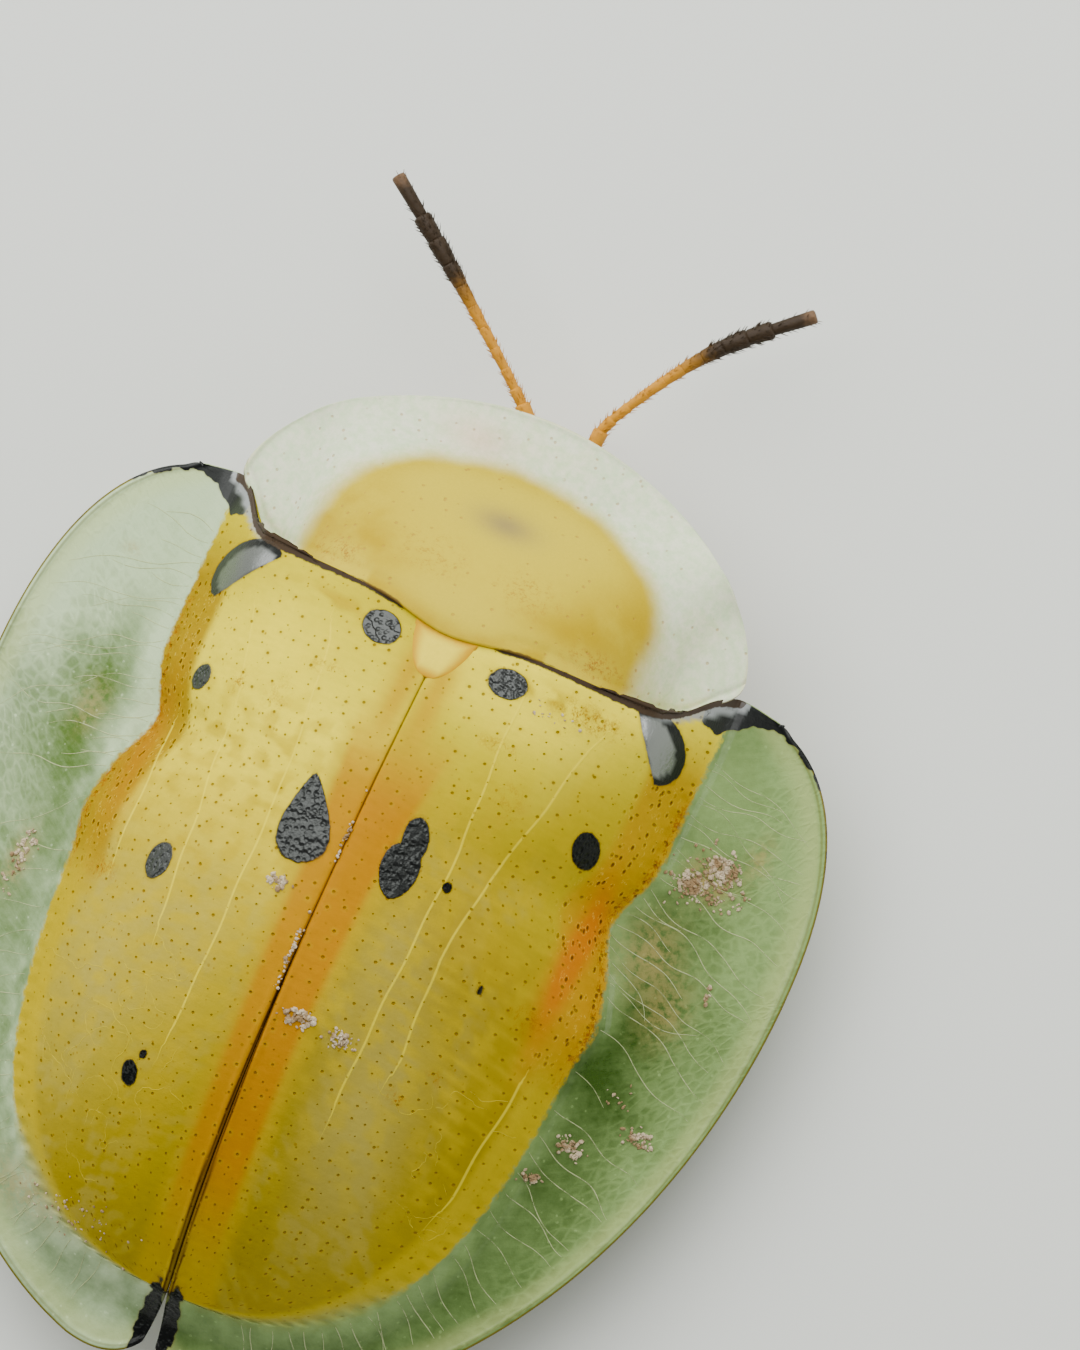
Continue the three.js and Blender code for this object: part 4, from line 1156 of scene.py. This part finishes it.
# Thorax and abdomen
# The soft-walled body under the shell: a chest of fused plates that carries the legs, and an abdomen
# of ringed plates that slide over each other. Both hang from the shell and are amber chitin with fine pits.
BELLY_LEVEL = 1.6
FLANK_LEVEL = 2.15
UNDER_SHELL = 0.8
INSIDE_DISC = 0.8
THORAX = {"front": -1.9, "waist": -0.1, "back": 2.85, "neck_half": 1.9}
ABDOMEN = {"front": 3.15, "reach": 5.15, "power": 2.8, "plates": 5, "front_round": 14}


def ball_piece(name, segments, rings):
    """A unit ball with its poles along Y, with each point's share from front to back and its angle round."""
    bpy.ops.object.select_all(action="DESELECT")
    upright = (math.pi / 2, 0, 0)
    bpy.ops.mesh.primitive_uv_sphere_add(segments=segments, ring_count=rings, radius=1, rotation=upright)
    bpy.ops.object.transform_apply(location=False, rotation=True, scale=False)
    piece = bpy.context.object
    piece.name = piece.data.name = name
    x, y, z = points_of(piece).T
    return piece, np.arccos(np.clip(-y, -1, 1)) / math.pi, np.arctan2(z, x)


def body_section(angle, half, top, bottom, roundness):
    """A section that is widest at the flank's level, with an arched back and a flatter belly."""
    across = np.cos(angle)
    reach = np.where(np.sin(angle) >= 0, top, bottom) - FLANK_LEVEL
    return half * across, FLANK_LEVEL + reach * (1 - np.abs(across) ** roundness)


def chitin_finish(name, light, dark, pit_scale, gloss):
    """Amber chitin, mottled, finely pitted and darker in its creases."""
    material, bench, place = new_finish(name, {"Coat Weight": gloss, "Coat Roughness": 0.15})
    broad, fine = bench.noise(place, 2.0, 4), bench.noise(place, 16.0, 4, 0.6)
    pits = 1 - bench.cells(place, pit_scale).soft(0.12, 0.3)
    colour = bench.mix(broad.soft(0.35, 0.7), light, dark)
    colour = bench.mix(pits * 0.4, colour, dark)
    feed(material, {
        "Base Color": bench.shaded(colour, 0.85 + 0.3 * fine),
        "Roughness": 0.34 + 0.2 * fine,
        "Normal": bench.relief(0.004 * fine - 0.012 * pits),
    })
    return material


belly_material = chitin_finish("belly", (0.62, 0.33, 0.05), (0.3, 0.12, 0.015), 5.0, 0.3)
thorax, share, angle = ball_piece("thorax_body", 96, 80)
y = THORAX["front"] + (THORAX["back"] - THORAX["front"]) * share
neck = np.clip((THORAX["waist"] - y) / (THORAX["waist"] - THORAX["front"]), 0, 1)
crease = 0.2 * bump(y - THORAX["waist"], 0.1) + 0.1 * bump(y - 1.45, 0.05) * (np.sin(angle) < 0)
body_half = disc_half(y) - INSIDE_DISC
half = body_half + (THORAX["neck_half"] - body_half) * neck**1.3 - crease
cover = np.where(y < 0, np.minimum(wing_case_height(0, -0.1), shield_height(0, y)), wing_case_height(0, y))
ends = arm(np.abs(2 * share - 1), 9)
keel = 0.3 * bump(np.cos(angle), 0.12) * (bump(y + 1.0, 0.6) + bump(y - 1.7, 0.7)) * (np.sin(angle) < 0)
top = BRIM_LEVEL + cover - UNDER_SHELL - 0.08 - crease
x, z = body_section(angle, half * ends, top, BELLY_LEVEL + crease, 2.6)
move_points(thorax, x, y, FLANK_LEVEL + (z - FLANK_LEVEL) * ends - keel * ends)
thorax.data.materials.append(belly_material)
into_frame(thorax)
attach(thorax, "root")
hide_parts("thorax")

abdomen, share, angle = ball_piece("abdomen_body", 96, 110)
along = np.sin(share * math.pi / 2)
y = ABDOMEN["front"] + ABDOMEN["reach"] * along
front_end = arm(1 - np.minimum(1, share * ABDOMEN["front_round"]), 3)
half = (disc_half(y) - INSIDE_DISC) * arm(along * 0.995, ABDOMEN["power"]) * front_end
crown = BRIM_LEVEL + DOME["height"] - UNDER_SHELL
top = FLANK_LEVEL + (crown - FLANK_LEVEL) * (1 - along**2.4)
plate_share = (share * ABDOMEN["plates"]) % 1
step = 0.09 * (1 - share_of(plate_share, 0.0, 0.12)) + 0.05 * share_of(plate_share, 0.93, 1)
bottom = BELLY_LEVEL + step + (FLANK_LEVEL - BELLY_LEVEL - 0.15) * along**4
x, z = body_section(angle, half, top, bottom, 2.4)
move_points(abdomen, x, y, FLANK_LEVEL + (z - FLANK_LEVEL) * front_end)
abdomen.data.materials.append(belly_material)
into_frame(abdomen)
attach(abdomen, "root")
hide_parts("abdomen")

# Head
# A small capsule of chitin tucked under the shield, with the mouth below: a lip, two short biting jaws
# and the longer pair of feelers for food. It turns on a short neck in the front ring of the thorax.
HEAD = {"centre": (0, -2.72, 1.3), "radii": (0.84, 0.48, 0.56)}
FEELER_ROOT = (-3.2, 1.5)
# Places along a mouth feeler, from the middle of the head.
PALP = [(0.26, 0.08, -0.5), (0.42, -0.02, -0.72), (0.4, -0.16, -0.92)]
NECK = {"radius": 0.4, "end": (0, -1.85, 1.58)}


def add_ball(centre, radii, turn=0.0, segments=32, rings=20):
    """An egg-shaped piece of a body, turned about the upright."""
    bpy.ops.mesh.primitive_uv_sphere_add(
        segments=segments,
        ring_count=rings,
        location=centre,
        rotation=(0, 0, turn),
    )
    bpy.context.object.scale = radii
    return bpy.context.object


def add_rod(start, end, start_radius, end_radius, sides=16):
    """A tapered rod from one place to another, with its two ends rounded over."""
    start, end = Vector(start), Vector(end)
    way = end - start
    bpy.ops.mesh.primitive_cone_add(
        vertices=sides,
        radius1=start_radius,
        radius2=end_radius,
        depth=way.length,
        location=(start + end) / 2,
        rotation=way.to_track_quat("Z", "Y").to_euler(),
    )
    rod = bpy.context.object
    ease = rod.modifiers.new("ease", "BEVEL")
    ease.width, ease.segments = 0.45 * min(start_radius, end_radius), 3
    ease.limit_method, ease.angle_limit = "ANGLE", 0.9
    bpy.ops.object.modifier_apply(modifier=ease.name)
    return rod


def joined(name, parts):
    """Several parts as one piece."""
    only(*parts)
    bpy.ops.object.transform_apply(location=True, rotation=True, scale=True)
    if len(parts) > 1:
        bpy.ops.object.join()
    piece = bpy.context.object
    piece.name = piece.data.name = name
    return piece


def fused(piece, voxel, rounds):
    """Melts the piece's parts into one skin and smooths where they meet."""
    melt = piece.modifiers.new("melt", "REMESH")
    melt.mode, melt.voxel_size = "VOXEL", voxel
    bpy.ops.object.modifier_apply(modifier=melt.name)
    ease = piece.modifiers.new("ease", "SMOOTH")
    ease.iterations, ease.factor = rounds, 0.5
    bpy.ops.object.modifier_apply(modifier=ease.name)


limb_material = chitin_finish("limb", (0.80, 0.42, 0.05), (0.55, 0.22, 0.02), 9.0, 0.35)
head_y, head_z = HEAD["centre"][1:]
bpy.ops.object.select_all(action="DESELECT")
head_parts = [
    add_ball(HEAD["centre"], HEAD["radii"]),
    add_rod((0, head_y + 0.1, head_z + 0.05), NECK["end"], NECK["radius"], NECK["radius"], 24),
    add_ball((0, head_y - 0.24, head_z - 0.26), (0.48, 0.28, 0.34)),
    add_ball((0, head_y - 0.24, head_z - 0.58), (0.28, 0.2, 0.15)),
    add_ball((0, head_y + 0.1, head_z - 0.5), (0.3, 0.22, 0.14)),
]
head = joined("head_capsule", head_parts)
fused(head, 0.028, 6)
mouth_parts = []
for side in (-1, 1):
    jaw_root = (side * 0.32, head_y - 0.16, head_z - 0.46)
    mouth_parts.append(add_rod(jaw_root, (side * 0.22, head_y - 0.36, head_z - 0.82), 0.13, 0.05))
    palp = smooth_route([(side * x, head_y + y, head_z + z) for x, y, z in PALP], 4)
    for start, end in zip(palp[:-1], palp[1:]):
        mouth_parts.append(add_rod(start, end, 0.05, 0.06, 10))
    mouth_parts.append(add_ball((side * 0.38, *FEELER_ROOT), (0.16, 0.12, 0.16)))
mouth = joined("mouth_parts", mouth_parts)
for piece in (head, mouth):
    piece.data.materials.append(limb_material)
    into_frame(piece)
    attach(piece, "root")
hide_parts("head")

# Eyes
# Black domes on the sides of the head, each packed with hundreds of six-sided lenses in clear chitin.
# They are part of the head's wall and don't turn.
EYE = {"x": 0.8, "y": -2.76, "z": 1.36, "radii": (0.36, 0.38, 0.46)}
EYE_FACES = (64, 40)


def eye_finish():
    material, bench, place = new_finish("eye", {"Coat Weight": 1.0, "Coat Roughness": 0.05})
    lens = bench.cells(place, 13.0, "DISTANCE_TO_EDGE", 0.25)
    fine = bench.noise(place, 20.0, 3)
    feed(material, {
        "Base Color": bench.mix(lens.soft(0.0, 0.12), (0.03, 0.02, 0.012), (0.012, 0.008, 0.006)),
        "Roughness": 0.18 + 0.2 * fine,
        "Normal": bench.relief(0.012 * lens.soft(0.0, 0.35)),
    })
    return material


eye_material = eye_finish()
for side_name, side in (("left", 1), ("right", -1)):
    dome = add_ball((side * EYE["x"], EYE["y"], EYE["z"]), EYE["radii"], 0, *EYE_FACES)
    eye = joined("eye_dome_" + side_name, [dome])
    eye.data.materials.append(eye_material)
    into_frame(eye)
    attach(eye, "root")
    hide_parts("eye_" + side_name)

# Antennae
# Feelers of eleven chitin segments threaded on a nerve, amber at the root and black towards the tip.
# The outer ones are thicker and felted with fine hairs. Each feeler turns in a socket of the head.
SEGMENT_LENGTHS = [0.52, 0.26, 0.34, 0.36, 0.36, 0.36, 0.36, 0.38, 0.42, 0.42, 0.72]
SHAFT_RADII = [0.11, 0.085, 0.075, 0.075, 0.08, 0.085, 0.095, 0.115, 0.13, 0.13, 0.1]
ANTENNAE = {
    "left": [(0.42, *FEELER_ROOT), (1.0, -3.72, 1.62), (2.34, -4.76, 1.85), (3.55, -5.62, 1.95)],
    "right": [(-0.36, *FEELER_ROOT), (-0.46, -3.8, 1.62), (-1.34, -5.18, 1.85), (-2.43, -6.2, 1.95)],
}
HAIR_SEED = 11
HAIR_RADIUS = 0.006
STEM_HAIRS, CLUB_HAIRS = 26, 66


def antenna_finish():
    """Amber that darkens along the feeler, with a dusty grey bloom from its fine hairs."""
    material, bench, place = new_finish("antenna", {"Specular IOR Level": 0.2})
    far, fine = bench.read("far"), bench.noise(place, 14.0, 4, 0.6)
    colour = bench.mix((far + 0.1 * fine).soft(0.46, 0.68), (0.5, 0.22, 0.01), (0.03, 0.018, 0.008))
    colour = bench.mix((far + 0.05 * fine).soft(0.96, 1.03), colour, (0.14, 0.08, 0.04))
    feed(material, {
        "Base Color": bench.shaded(colour, 0.8 + 0.4 * fine),
        "Roughness": 0.45 + 0.2 * fine,
        "Normal": bench.relief(0.01 * fine),
    })
    return material


def route_by_length(route):
    """The smooth route and the millimetres walked to each of its points."""
    places = smooth_route(route, 120)
    walked = np.concatenate([[0], np.cumsum(np.linalg.norm(np.diff(places, axis=0), axis=1))])
    return places, walked


def fine_hairs(name, roots, ways, lengths, radius):
    """Many fine hairs as one mesh of thin, bent spikes."""
    routes = []
    for root, way, length in zip(roots, ways, lengths):
        tip = root + way * length
        bend = (root + tip) / 2 + np.array([0, 0, 0.06 * length])
        routes.append([(*root, 1.0), (*bend, 0.7), (*tip, 0.08)])
    return threads(name, routes, radius)


antenna_material = antenna_finish()
for side_name in ("left", "right"):
    places, walked = route_by_length(ANTENNAE[side_name])
    chance = np.random.default_rng(HAIR_SEED)
    scale = walked[-1] / sum(SEGMENT_LENGTHS)
    ends = np.concatenate([[0], np.cumsum(SEGMENT_LENGTHS)]) * scale
    joints = np.stack([np.interp(ends, walked, axis) for axis in places.T], axis=1)
    bpy.ops.object.select_all(action="DESELECT")
    parts, roots, ways, lengths = [], [], [], []
    for start, end, radius in zip(joints[:-1], joints[1:], SHAFT_RADII):
        way = (end - start) / np.linalg.norm(end - start)
        parts.append(add_rod(start - 0.03 * way, end, radius * 0.84, radius))
        for _ in range(CLUB_HAIRS if radius > 0.11 else STEM_HAIRS):
            around = np.cross(way, chance.normal(0, 1, 3))
            around /= np.linalg.norm(around)
            roots.append(start + (end - start) * chance.uniform(0.1, 0.98) + around * radius * 0.85)
            ways.append(0.75 * way + 0.55 * around)
            lengths.append(chance.uniform(0.07, 0.13))
    parts.append(fine_hairs("hairs", roots, ways, lengths, HAIR_RADIUS))
    antenna = joined("antenna_shaft_" + side_name, parts)
    x, y, z = points_of(antenna).T
    nearest = np.argmin(np.hypot(x[:, None] - places[None, :, 0], y[:, None] - places[None, :, 1]), axis=1)
    paint(antenna, "far", walked[nearest] / walked[-1])
    antenna.data.materials.append(antenna_material)
    into_frame(antenna)
    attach(antenna, "root")
    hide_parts("antenna_" + side_name)

# Legs
# Six short legs of jointed amber chitin: hip, thigh, shin, three broad pads and a claw joint with two claws.
# The pads are felted underneath with hairs that cling to leaves. Each hip turns in a cup of the thorax.
LEGS = {
    "front": {"coxa": (0.85, -1.2), "knee": (2.2, -0.85), "ankle": (2.5, -1.4), "toe": (2.68, -2.08)},
    "middle": {"coxa": (1.05, 1.0), "knee": (2.7, 1.2), "ankle": (3.3, 2.15), "toe": (3.8, 2.95)},
    "hind": {"coxa": (1.1, 2.4), "knee": (2.9, 3.9), "ankle": (3.4, 5.3), "toe": (3.75, 6.2)},
}
COXA_RADII = (0.42, 0.4, 0.36)
COXA_LEVEL = 1.2
HIP_LEVEL = 1.02
KNEE_LEVEL = 1.08
ANKLE_LEVEL = 0.36
PAD = {"half": 0.25, "long": 0.2, "high": 0.12, "level": 0.13, "hairs": 120}
PAD_SHARES = (0.14, 0.36, 0.6)
THIGH = ([0, 0.3, 0.7, 1], [0.14, 0.24, 0.2, 0.14])
SHIN = ([0, 0.15, 0.6, 1], [0.11, 0.14, 0.16, 0.19])
KNEE_RADII = (0.13, 0.13, 0.12)
SHIN_HAIRS = 70
LEG_SEED = 20


def add_limb(start, end, profile, bow, name):
    """A limb whose thickness follows a profile, bowed upwards by a little, drawn out from a ball."""
    limb, share, angle = ball_piece(name, 20, 24)
    start, end = Vector(start), Vector(end)
    way = (end - start).normalized()
    side_way = way.cross(Vector((0, 0, 1))).normalized()
    up_way = side_way.cross(way)
    radius = np.interp(share, *profile) * arm(np.abs(2 * share - 1), 6)
    centre = np.array(start)[None, :] + share[:, None] * np.array(end - start)[None, :]
    centre = centre + (bow * np.sin(share * math.pi))[:, None] * np.array(up_way)[None, :]
    around = np.cos(angle)[:, None] * np.array(side_way) + np.sin(angle)[:, None] * np.array(up_way)
    move_points(limb, *(centre + radius[:, None] * around).T)
    return limb


class Foot:
    """The foot's own directions, from the ankle to the tip of the claws."""

    def __init__(self, ankle, toe):
        self.heel = ankle
        self.way = toe - ankle
        self.along = self.way.normalized()
        self.across = Vector((self.way.y, -self.way.x, 0)).normalized()
        self.heading = math.atan2(self.way.y, self.way.x) - math.pi / 2

    def place(self, share, sideways, level):
        return self.heel + self.way * share + self.across * sideways + Vector((0, 0, level))


def foot_hairs(foot, chance, share, half):
    """The felt of one pad, as roots, directions and lengths."""
    hairs = []
    for _ in range(PAD["hairs"]):
        spread = chance.uniform(-1, 1)
        place = share + chance.uniform(-0.12, 0.16)
        root = foot.place(place, spread * half * 0.92, 0.1 + chance.uniform(-0.03, 0.04))
        lean = Vector((0, 0, -0.55)) + foot.across * spread * 0.7 + foot.along * 0.35
        hairs.append((np.array(root), np.array(lean), chance.uniform(0.08, 0.12)))
    return hairs


def shin_hairs(knee, ankle, chance):
    """Short hairs all round the lower half of the shin."""
    hairs = []
    for _ in range(SHIN_HAIRS):
        share = chance.uniform(0.35, 1.0)
        around = Vector((chance.normal(), chance.normal(), chance.normal())).normalized()
        root = knee + (ankle - knee) * share + around * 0.13
        lean = around * 0.6 + (ankle - knee).normalized() * 0.7
        hairs.append((np.array(root), np.array(lean), chance.uniform(0.1, 0.2)))
    return hairs


def make_leg(name, plan, side, seed):
    """One leg with all its joints and hairs."""
    chance = np.random.default_rng(seed)

    def joint(key, level):
        return Vector((side * plan[key][0], plan[key][1], level))

    foot = Foot(joint("ankle", 0), joint("toe", 0))
    hip, knee, ankle = joint("coxa", HIP_LEVEL), joint("knee", KNEE_LEVEL), joint("ankle", ANKLE_LEVEL)
    heel = foot.place(-0.02, 0, ANKLE_LEVEL + 0.03)
    bpy.ops.object.select_all(action="DESELECT")
    parts = [
        add_ball(joint("coxa", COXA_LEVEL), COXA_RADII),
        add_ball(hip + (knee - hip) * 0.14, (0.18, 0.18, 0.17)),
        add_limb(hip + (knee - hip) * 0.16, knee, THIGH, 0.05, "thigh"),
        add_ball(knee, KNEE_RADII),
        add_limb(knee + (ankle - knee) * 0.02, ankle, SHIN, 0.06, "shin"),
        add_rod(heel, foot.place(PAD_SHARES[0], 0, PAD["level"]), 0.12, 0.1, 12),
        add_rod(foot.place(0.58, 0, 0.17), foot.place(0.82, 0, 0.19), 0.06, 0.09, 12),
    ]
    hairs = []
    for index, share in enumerate(PAD_SHARES):
        half = PAD["half"] * (1 + 0.14 * index)
        radii = (half * 0.62, PAD["long"], PAD["high"])
        for lobe in (-1, 1):
            centre = foot.place(share, lobe * half * 0.42, PAD["level"])
            parts.append(add_ball(centre, radii, foot.heading - lobe * 0.3, 20, 12))
        hairs += foot_hairs(foot, chance, share, half)
    hairs += shin_hairs(knee, ankle, chance)
    for spread in (-1, 1):
        bend = foot.place(0.86, spread * 0.1, 0.18)
        parts.append(add_rod(foot.place(0.78, spread * 0.04, 0.18), bend, 0.05, 0.04, 10))
        parts.append(add_rod(bend, foot.place(0.9, spread * 0.13, 0.05), 0.04, 0.012, 10))
    roots, ways, lengths = zip(*hairs)
    roots = [root if root[2] > 0.02 else root + np.array([0, 0, 0.05]) for root in roots]
    parts.append(fine_hairs("hairs", roots, ways, lengths, HAIR_RADIUS))
    return joined(name, parts)


for number, (place_name, plan) in enumerate(LEGS.items()):
    for side_name, side in (("left", 1), ("right", -1)):
        leg = make_leg(f"leg_{place_name}_{side_name}_limb", plan, side, LEG_SEED + number)
        points = points_of(leg)
        move_points(leg, points[:, 0], points[:, 1], np.maximum(points[:, 2], 0.0))
        leg.data.materials.append(limb_material)
        into_frame(leg)
        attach(leg, "root")
        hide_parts(f"leg_{place_name}_{side_name}")

# Floor
# A plain pale sheet under the beetle, wide enough to fill every view. It isn't part of the object.
bpy.ops.object.select_all(action="DESELECT")
bpy.ops.mesh.primitive_plane_add(size=4)
floor = bpy.context.object
floor.name = "floor"
floor_material, bench, place = new_finish("floor", {"Roughness": 0.9, "Specular IOR Level": 0.2})
floor_colour = bench.mix(bench.noise(place, 0.02, 2), (0.70, 0.72, 0.66), (0.72, 0.74, 0.68))
feed(floor_material, {"Base Color": floor_colour})
floor.data.materials.append(floor_material)

# Camera
# It looks almost straight down on the back, from a little to the animal's right and behind the middle,
# with the head towards the upper right of the picture and the tip of the wing cases cut off below.
PICTURE = {"wide": 1080, "high": 1350, "scale": 74.0}
CAMERA_DISTANCE = 150.0
CAMERA_LEAN = {"sideways": 5.8, "backwards": 3.0, "roll": 24.7}
AIM = Vector((-1.02, -0.26, BRIM_LEVEL))
SENSOR = 36.0

lean = Vector((
    -math.sin(math.radians(CAMERA_LEAN["sideways"])),
    math.sin(math.radians(CAMERA_LEAN["backwards"])),
    0,
))
lean.z = math.sqrt(1 - lean.length_squared)
head_way = Vector((0, -1, 0))
ahead = (head_way - head_way.dot(lean) * lean).normalized()
right = ahead.cross(lean)
roll = math.radians(CAMERA_LEAN["roll"])
up = math.cos(roll) * ahead - math.sin(roll) * right
camera_data = bpy.data.cameras.new("camera")
camera_data.lens = SENSOR * CAMERA_DISTANCE * PICTURE["scale"] / PICTURE["high"]
camera_data.sensor_width = SENSOR
camera_data.clip_start = 0.005
camera = bpy.data.objects.new("camera", camera_data)
bpy.context.collection.objects.link(camera)
aim = (AIM + Vector((0, BACK_SHIFT, 0))) * MM
turned = Matrix((up.cross(lean), up, lean)).transposed().to_4x4()
camera.matrix_world = Matrix.Translation(aim + lean * CAMERA_DISTANCE * MM) @ turned
bpy.context.scene.camera = camera

# Lights
# A broad soft panel over the head end, two low ones that the shoulders mirror, and a dim white room.
LIGHTS = {
    "key": {"way": (0.3, -0.5, 0.8), "away": 0.15, "size": (0.2, 0.2), "radiance": 4.5},
    "left_panel": {"way": (0.95, -0.2, 0.24), "away": 0.14, "size": (0.1, 0.06), "radiance": 4.5},
    "right_panel": {"way": (-0.93, -0.3, 0.3), "away": 0.14, "size": (0.08, 0.05), "radiance": 5.5},
}
for name, light in LIGHTS.items():
    wide, high = light["size"]
    way = Vector(light["way"]).normalized()
    bpy.ops.object.light_add(type="AREA", location=way * light["away"])
    lamp = bpy.context.object
    lamp.name, lamp.data.shape, lamp.data.size, lamp.data.size_y = name, "RECTANGLE", wide, high
    lamp.data.energy = light["radiance"] * math.pi * wide * high
    lamp.rotation_euler = way.to_track_quat("Z", "Y").to_euler()
world = bpy.data.worlds.new("room")
world.use_nodes = True
world.node_tree.nodes["Background"].inputs["Color"].default_value = (0.97, 0.99, 1.0, 1)
world.node_tree.nodes["Background"].inputs["Strength"].default_value = 0.42
bpy.context.scene.world = world
